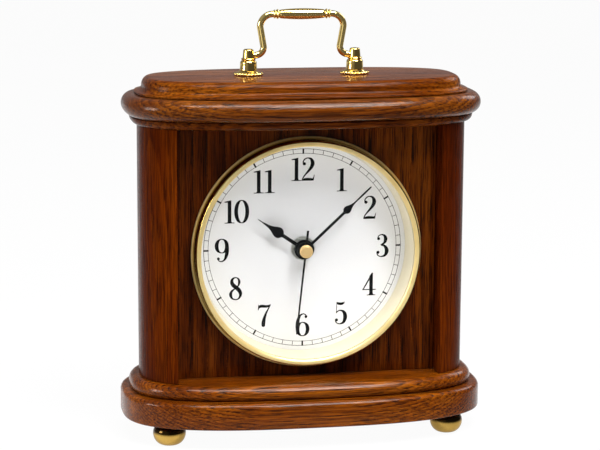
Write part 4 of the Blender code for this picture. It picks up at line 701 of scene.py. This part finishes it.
def number_shapes(text, height):
    """The shapes of a whole number about its own middle."""
    gap = 0.045
    parts, at = [], 0.0
    for one in text:
        shapes, width = digit(one)
        parts += [[(x + at, y) for x, y in shape] for shape in shapes]
        at += width + (gap if one != "1" or text == "11" else 0.0)
    at -= gap if text[-1] != "1" or text == "11" else 0.0
    return [[((x - at / 2) * height, (y - 0.5) * height) for x, y in shape] for shape in parts]


def make_print():
    """The numbers and the minute track, as thin ink on the dial."""
    ink, layer, over_track = 0.00002, 0.0000004, 0.000001
    track_out, track_in, track_steps = 0.0581, 0.0555, 240
    number_height, number_radius = 0.0135, 0.0456
    own_radius = {3: 0.0472, 9: 0.0474, 10: 0.0448, 12: 0.0462, 6: 0.0458}
    bm = bmesh.new()

    def fill(shape, lift=0.0):
        bm.faces.new([bm.verts.new(from_dial(x, y, ink + lift)) for x, y in shape])

    for hour in range(1, 13):
        turn = math.radians(30 * hour)
        r = own_radius.get(hour, number_radius)
        cx, cy = r * math.sin(turn), r * math.cos(turn)
        for k, shape in enumerate(number_shapes(str(hour), number_height)):
            fill([(x + cx, y + cy) for x, y in shape], layer * (k % 9))
    for radius, width in ((track_out, 0.00028), (track_in, 0.00025)):
        inside, outside = radius - width / 2, radius + width / 2
        for i in range(track_steps):
            a, b = (FULL_TURN * k / track_steps for k in (i, i + 1))
            fill([(r * math.sin(t), r * math.cos(t))
                  for r, t in ((inside, a), (inside, b), (outside, b), (outside, a))])
    for minute in range(60):
        turn = FULL_TURN * minute / 60
        half, inner = (0.00048, 0.0552) if minute % 5 == 0 else (0.00016, track_in)
        outer = track_out + 0.0002
        sn, cs = math.sin(turn), math.cos(turn)
        fill([(r * sn + o * cs, r * cs - o * sn)
              for r, o in ((inner, -half), (outer, -half), (outer, half), (inner, half))], over_track)
    put_piece("dial_print", bm, INK)


# Hands

def pear(length, bulb_at, bulb, arm, tip=0.0005):
    """Half widths along a pear hand, from its hub to its tip."""
    back = bulb * 0.62
    rows = [(0.0, arm / 2), (bulb_at - back, arm / 2), (bulb_at - back * 0.86, arm * 0.56)]
    rows += [(bulb_at + back * a, bulb / 2 * w) for a, w in (
        (-0.70, 0.66), (-0.52, 0.86), (-0.30, 0.97), (-0.05, 1.0), (0.25, 0.93), (0.60, 0.74), (0.95, 0.52),
        (1.35, 0.34), (1.8, 0.24), (2.4, 0.17))]
    rows += [(bulb_at + (length - bulb_at) * 0.75, tip * 0.62), (length - 0.0004, tip * 0.45),
             (length, tip * 0.15)]
    return rows


def make_hand(node, body, rows, angle_deg, hub_radius, arbor):
    """A flat hand with eased edges and a turned hub, aimed clockwise from twelve.

    The rows are (distance from the hub, half width), with the tail below zero.
    """
    _, front, rear = dial_size(node)
    middle = (front + rear) / 2
    half, ease = 0.00025, 0.00012
    turn = math.radians(angle_deg)
    sn, cs = math.sin(turn), math.cos(turn)
    sections = []
    for at, w in rows:
        e = min(ease, w * 0.5)
        section = [(-w, e - half), (e - w, -half), (w - e, -half), (w, e - half),
                   (w, half - e), (w - e, half), (e - w, half), (-w, half - e)]
        sections.append([from_dial(x * cs + at * sn, at * cs - x * sn, middle + h) for x, h in section])
    bm = bmesh.new()
    skin(bm, sections)
    r = 0.0003
    profile = [(arbor, front), (hub_radius - r, front)] + arc(hub_radius - r, front - r, r, r, 90, 0, 4)[1:]
    profile += arc(hub_radius - r, rear + r, r, r, 0, -90, 4) + [(arbor, rear)]
    spin(bm, profile, from_dial, steps=64)
    put_piece(node + "_blade", bm, BLACK, node, body, sharp_deg=35)


def make_hands():
    """The hands at the photograph's time, and the cap on the second hand."""
    ring_wall = 0.0025
    dial = dial_size("reflector_ring")[0] - ring_wall
    hour, minute, second, tail = (share * dial for share in (0.541, 0.873, 0.813, 0.195))
    make_hand("hour_hand", "hour_hand_group",
              pear(hour, bulb_at=0.573 * hour, bulb=0.0064, arm=0.0021),
              angle_deg=304.2, hub_radius=0.0058, arbor=0.0025)
    make_hand("minute_hand", "minute_hand_group",
              pear(minute, bulb_at=0.639 * minute, bulb=0.0045, arm=0.0016, tip=0.0009),
              angle_deg=47.0, hub_radius=0.0047, arbor=0.0016)
    arbor = 0.00065
    make_hand("second_hand", "second_hand_group",
              [(-tail, 0.00066), (-0.002, 0.00064), (0.0, 0.00062), (second - 0.0002, 0.00040),
               (second, 0.0002)], angle_deg=186.0, hub_radius=0.0021, arbor=arbor)
    radius, front, base = dial_size("second_hand_cap")
    rise = front - base
    profile = [(0, front)] + [(radius * out, front - rise * down) for out, down in (
        (0.55, 0.03), (0.80, 0.10), (0.93, 0.22), (1.0, 0.42))]
    profile += [(radius, base + 0.0002), (radius - 0.0002, base), (arbor, base), (arbor, base + rise / 2),
                (0, base + rise / 2)]
    bm = bmesh.new()
    spin(bm, profile, from_dial, steps=64)
    put_piece("hub_cap", bm, SATIN_BRASS, "second_hand_cap", "second_hand_group", sharp_deg=40)


# Handle

def make_bail():
    """The folding handle: a bent bar with a swelling grip between beads."""
    low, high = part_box("handle_bail")
    pivot = next(j for j in frame["joints"] if j["name"] == "handle_fold")["pos_m"][2]
    grip_r, bar, pin = 0.0032, 0.0019, 0.0014
    rise = high.z - pivot - grip_r
    foot_x, foot_bend, half_w, top_bend = 0.0222, 0.0046, 0.0242, 0.0072
    post_x, post_r = 0.031, 0.0034
    shoulder = post_x - post_r - SEAM
    half = [(high.x, 0, pin), (shoulder + 0.00005, 0, pin), (shoulder, 0, bar - 0.0003),
            (shoulder - 0.0003, 0, bar)]
    half += [(x, z, bar) for x, z in arc(foot_x + foot_bend, foot_bend, foot_bend, foot_bend, 270, 180, 12)]
    half += [(x, z, bar) for x, z in arc(half_w - top_bend, rise - top_bend, top_bend, top_bend, 0, 90, 16)]
    grip = 0.0135
    half += [(grip + out, rise, r) for out, r in (
        (0.0031, bar), (0.0029, 0.0023), (0.0024, 0.0026), (0.0019, 0.0023), (0.0017, 0.0019),
        (0.0014, 0.0024), (0.0007, 0.0029), (0.0001, 0.0025), (-0.0002, 0.0021), (-0.0006, 0.0024))]
    waist = 0.0024
    half += [(grip * k, rise, waist + (grip_r - waist) * math.cos(k * math.pi / 2) ** 0.8)
             for k in (0.9, 0.8, 0.65, 0.5, 0.3, 0.12)]
    whole = half + [(0, rise, grip_r)] + [(-x, z, r) for x, z, r in reversed(half)]
    segments = 28
    rings = []
    for i, (x, z, r) in enumerate(whole):
        a, b = whole[max(i - 1, 0)], whole[min(i + 1, len(whole) - 1)]
        dx, dz = b[0] - a[0], b[1] - a[1]
        length = math.hypot(dx, dz) or 1.0
        nx, nz = -dz / length, dx / length
        rings.append([(x + r * math.cos(t) * nx, r * math.sin(t), pivot + z + r * math.cos(t) * nz)
                      for t in (FULL_TURN * k / segments for k in range(segments))])
    bm = bmesh.new()
    skin(bm, rings)
    put_piece("bail_brass", bm, BRIGHTENED_BAIL_BRASS, "handle_bail", "handle", sharp_deg=50)


def make_handle_post(side):
    """A turned post: a small knob, a bead, and a foot that flares to its collar."""
    node = "handle_post_" + side
    low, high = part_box(node)
    base, top = low.z, high.z
    collar = (high.x - low.x) / 2
    neck = base + 0.0060
    profile = [(0, top)] + arc(0.0018, top - 0.0010, 0.0012, 0.0010, 90, 0, 6)
    profile += [(r, neck + up) for r, up in (
        (0.00335, 0.0011), (0.0034, 0.0009), (0.0040, 0.0007), (0.0042, 0.0003), (0.0040, -0.0001),
        (0.0036, -0.0003))]
    profile += arc(0.0034, neck - 0.0022, collar - 0.0036, 0.0018, 78, 0, 8)
    profile += [(collar - 0.0001, base + 0.0008), (collar, base + 0.0004), (collar, base), (0, base)]
    bm = bmesh.new()
    spin(bm, profile, upright((low.x + high.x) / 2, 0), steps=56)
    put_piece("handle_post_brass_" + side, bm, BRASS, node, sharp_deg=50)


def make_rosette(side):
    """A round plate with a scalloped edge and a raised seat for the post."""
    node = "handle_rosette_" + side
    low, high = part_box(node)
    x, base = (low.x + high.x) / 2, low.z
    radius, tall = (high.x - low.x) / 2, high.z - low.z
    lobes, steps = 22, 264
    rings = []
    for inset, h, depth in (
            (0.0003, 0, 0.0006), (0, 0.0003, 0.0008), (0, 0.0007, 0.0008), (0.0003, 0.0011, 0.0007),
            (0.0009, 0.00135, 0.0005), (0.0015, 0.0012, 0.0001), (0.0018, 0.0011, 0), (0.0021, 0.0013, 0),
            (0.0026, 0.0018, 0), (0.0031, tall - 0.0001, 0), (0.0034, tall, 0)):
        ring = []
        for t in (FULL_TURN * k / steps for k in range(steps)):
            r = radius - inset - depth * (1 - abs(math.cos(lobes * t / 2)) ** 0.7)
            ring.append((x + r * math.cos(t), r * math.sin(t), base + h))
        rings.append(ring)
    bm = bmesh.new()
    skin(bm, rings)
    put_piece("rosette_brass_" + side, bm, BRASS, node, sharp_deg=45)


# Screws, movement and battery

def cross_screw(node):
    """A pan head with a cross recess, and its shank, pointing backwards out of the clock."""
    low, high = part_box(node)
    x, z = (low.x + high.x) / 2, (low.z + high.z) / 2
    radius = max(high.x - low.x, high.z - low.z) / 2
    head = 0.0012 if "back" in node else 0.0011
    seat, shank = high.y - head, 0.0010
    profile = [(0, head)] + [(radius * math.sin(t), head * (0.25 + 0.75 * math.cos(t)))
                             for t in (math.radians(a) for a in (20, 40, 60, 75, 90))]
    profile += [(radius, 0), (shank, 0), (shank, low.y - seat), (0, low.y - seat)]
    bm = bmesh.new()
    spin(bm, profile, lambda a, b, h: (x + a, seat + h, z + b), steps=40)
    piece = put_piece(node + "_steel", bm, STEEL, node, sharp_deg=35)

    arm, half = radius * 0.58, radius * 0.13
    cross = [(half, half), (arm, half), (arm, -half), (half, -half), (half, -arm), (-half, -arm),
             (-half, -half), (-arm, -half), (-arm, half), (-half, half), (-half, arm), (half, arm)]
    bm = bmesh.new()
    skin(bm, [[(x + a, y, z + b) for a, b in cross] for y in (seat + head * 0.35, high.y + 0.001)])
    bmesh.ops.recalc_face_normals(bm, faces=bm.faces[:])
    cutter = link_mesh(node + "_cutter", bm)
    recess = piece.modifiers.new("recess", "BOOLEAN")
    recess.operation = "DIFFERENCE"
    recess.solver = "EXACT"
    recess.object = cutter
    bpy.context.view_layer.update()
    depsgraph = bpy.context.evaluated_depsgraph_get()
    made = bpy.data.meshes.new_from_object(piece.evaluated_get(depsgraph))
    piece.modifiers.clear()
    piece.data = made
    made.set_sharp_from_angle(angle=math.radians(35))
    bpy.data.objects.remove(cutter, do_unlink=True)


def make_battery():
    """A cell along x: a printed jacket with steel showing at both ends."""
    low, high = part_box("battery")
    y, z = (low.y + high.y) / 2, (low.z + high.z) / 2
    radius = (high.z - low.z) / 2
    tip = high.x - 0.0013
    r, plate, joint = 0.0006, 0.0006, 0.0001
    sleeve, steel_r, button = radius - 0.0012, radius - 0.0013, 0.00275

    def lying(a, b, h):
        return (h, y + a, z + b)

    bm = bmesh.new()
    spin(bm, [(sleeve, tip - joint)] + arc(radius - r, tip - r - joint, r, r, 90, 0, 4)
         + arc(radius - r, low.x + r, r, r, 0, -90, 4) + [(sleeve, low.x)], lying, steps=48)
    spin(bm, [(0, high.x), (0.0024, high.x), (button, high.x - 0.0003), (button, tip), (steel_r, tip),
              (steel_r, tip - 0.0005), (0, tip - 0.0005)], lying, steps=48, material_of=lambda band: 1)
    spin(bm, [(0, low.x + plate), (steel_r, low.x + plate), (steel_r, low.x), (0, low.x)],
         lying, steps=48, material_of=lambda band: 1)
    put_piece("battery_cell", bm, [JACKET, STEEL], "battery", sharp_deg=35)


def dress_cad():
    """The CAD nodes that keep their own shape get their finishes."""
    for finish, names in (
            (PANEL_WOOD, ["front_panel"]), (PLYWOOD, ["back_panel"]),
            (PLASTIC, ["movement_case", "movement_cover", "setting_knob"]),
            (GEAR, ["middle_plate", "minute_wheel", "hour_wheel", "second_wheel", "third_wheel",
                    "centre_wheel", "fifth_wheel"]),
            (MAGNET, ["rotor"]), (DARK_STEEL, ["stator"]), (COPPER, ["coil"]),
            (BOARD_GREEN, ["circuit_board"]), (BRASS, ["cannon_pinion", "threaded_bush"]),
            (BRIGHTENED_WASHER_STEEL, ["bush_washer", "bush_nut"]),
            (STEEL, ["battery_contact_positive", "battery_contact_negative", "handle_screw_left",
                     "handle_screw_right", "retaining_clip_1", "retaining_clip_2", "retaining_clip_3"])):
        for name in names:
            for held in NODES[name].material_slots:
                held.material = finish


make_boards()
make_posts()
make_feet()
make_bezel()
make_glass_and_dial()
make_print()
make_hands()
make_bail()
for post_side in ("left", "right"):
    make_handle_post(post_side)
    make_rosette(post_side)
for screw_name in sorted(NODES):
    if screw_name.startswith(("back_screw", "clip_screw")):
        cross_screw(screw_name)
make_battery()
dress_cad()


# Stage, light and camera

def make_floor():
    """A white floor that keeps the shadow.

    For reflections it darkens in front of the clock and to the right, as the photograph's studio does,
    but for one pale band far in front on the left.
    """
    f = Finish("floor_white", base_color=(0.76, 0.76, 0.76), roughness=0.7)
    f.bump(f.noise(f.place(), 60.0), 0.02, 0.0004)
    path = f.add("ShaderNodeLightPath").outputs
    glossy = path["Is Glossy Ray"]
    clear = f.math("MAXIMUM", path["Is Camera Ray"], path["Is Transmission Ray"])
    where = f.axes(f.place())
    band = f.ramp(f.math("MULTIPLY", f.math("DIVIDE", where["X"], where["Y"]), 0.5),
                  [(0.10, 0.0), (0.15, 1.0), (0.48, 1.0), (0.62, 0.0)])
    far = f.span(where["Y"], -0.50, -0.75)
    outside_band = f.math("MULTIPLY_ADD", f.math("MULTIPLY", band, far), -0.95, 1.0)
    nearness = f.math("MULTIPLY_ADD", f.math("MAXIMUM", where["X"], 0.0), -0.45, where["Y"])
    dimming = f.span(nearness, -0.14, -0.03, -0.88, 0.0)
    mirrored = f.math("MULTIPLY", glossy, f.math("MULTIPLY_ADD", dimming, -0.5, 0.55))
    glow = f.add("ShaderNodeEmission", {
        "Color": (1.0, 1.0, 1.0),
        "Strength": f.math("MULTIPLY_ADD", glossy, f.math("MULTIPLY", dimming, outside_band), 1.0),
    })
    mixed = f.add("ShaderNodeMixShader", {
        0: f.math("MULTIPLY_ADD", clear, 0.96, mirrored), 1: f.shader.outputs[0], 2: glow.outputs[0],
    })
    f.put(f.tree.nodes["Material Output"].inputs["Surface"], mixed.outputs[0])
    bm = bmesh.new()
    bmesh.ops.create_grid(bm, x_segments=2, y_segments=2, size=6.0)
    floor = link_mesh("floor", bm)
    floor.data.materials.append(f.material)


def make_world():
    """Soft light all round, white to the camera, and paler behind and on the left in reflections."""
    world = bpy.context.scene.world or bpy.data.worlds.new("World")
    bpy.context.scene.world = world
    world.use_nodes = True
    world.node_tree.nodes.clear()
    g = Graph(world.node_tree)
    path = g.add("ShaderNodeLightPath").outputs
    glossy = path["Is Glossy Ray"]
    where = g.axes(g.add("ShaderNodeTexCoord").outputs["Generated"])
    behind = g.span(where["Y"], 0.15, 0.55, 0.0, 0.20)
    left = g.span(where["X"], -0.10, -0.55, 0.0, 0.20)
    clear = g.math("MAXIMUM", path["Is Camera Ray"], path["Is Transmission Ray"])
    seen = g.math("MAXIMUM", clear, g.math("MULTIPLY", glossy, g.math("MAXIMUM", behind, left)))
    soft = g.add("ShaderNodeBackground", {
        "Color": (0.95, 0.97, 1.0), "Strength": g.math("MULTIPLY_ADD", glossy, -0.17, 0.26),
    })
    white = g.add("ShaderNodeBackground", {"Color": (1.0, 1.0, 1.0), "Strength": 1.0})
    mix = g.add("ShaderNodeMixShader", {0: seen, 1: soft.outputs[0], 2: white.outputs[0]})
    g.add("ShaderNodeOutputWorld", {"Surface": mix.outputs[0]})


def make_lamp(name, place, aim_height, size, watts, colour=(1.0, 1.0, 1.0)):
    """A rectangular lamp that points at the clock's middle line."""
    lamp = bpy.data.lights.new(name, "AREA")
    lamp.shape = "RECTANGLE"
    lamp.size, lamp.size_y = size
    lamp.energy = watts
    lamp.color = colour
    holder = bpy.data.objects.new(name, lamp)
    bpy.context.scene.collection.objects.link(holder)
    holder.location = place
    away = Vector(place) - Vector((0, 0, aim_height))
    holder.rotation_euler = away.to_track_quat("Z", "Y").to_euler()


def make_camera():
    """The photograph's view: from the front, a little from the left and above."""
    azimuth, elevation, roll = (math.radians(a) for a in (-10.763, 11.057, 0.312))
    distance, focal_px, right_px, down_px = 1.250, 2151.3, 2.394, 23.957
    sensor_mm, photo_width_px = 36.0, 600
    target = Vector((0, -0.005, 0.106494))
    level = math.cos(elevation)
    back = Vector((math.sin(azimuth) * level, -math.cos(azimuth) * level, math.sin(elevation)))
    flat_right = Vector((math.cos(azimuth), math.sin(azimuth), 0))
    flat_up = back.cross(flat_right)
    right = flat_right * math.cos(roll) + flat_up * math.sin(roll)
    up = flat_up * math.cos(roll) - flat_right * math.sin(roll)
    data = bpy.data.cameras.new("camera")
    data.sensor_width = sensor_mm
    data.lens = focal_px * sensor_mm / photo_width_px
    data.shift_x, data.shift_y = -right_px / photo_width_px, down_px / photo_width_px
    data.clip_start, data.clip_end = 0.05, 40.0
    camera = bpy.data.objects.new("camera", data)
    bpy.context.scene.collection.objects.link(camera)
    turned = Matrix((right, up, back)).transposed().to_4x4()
    camera.matrix_world = Matrix.Translation(target + back * distance) @ turned
    bpy.context.scene.camera = camera


make_floor()
make_world()
make_lamp("key", (0.27, -0.66, 1.02), aim_height=0.11, size=(0.40, 0.35), watts=10.2)
make_lamp("fill", (-1.10, -0.30, 0.44), aim_height=0.11, size=(0.4, 0.4), watts=6.4)
make_lamp("rim", (1.00, 0.62, 0.85), aim_height=0.11, size=(0.5, 0.5), watts=3.8, colour=(0.92, 0.96, 1.0))
make_lamp("top", (0.05, -0.34, 1.05), aim_height=0.15, size=(0.9, 0.34), watts=15.0)
make_camera()
bpy.context.scene.view_settings.view_transform = "Standard"
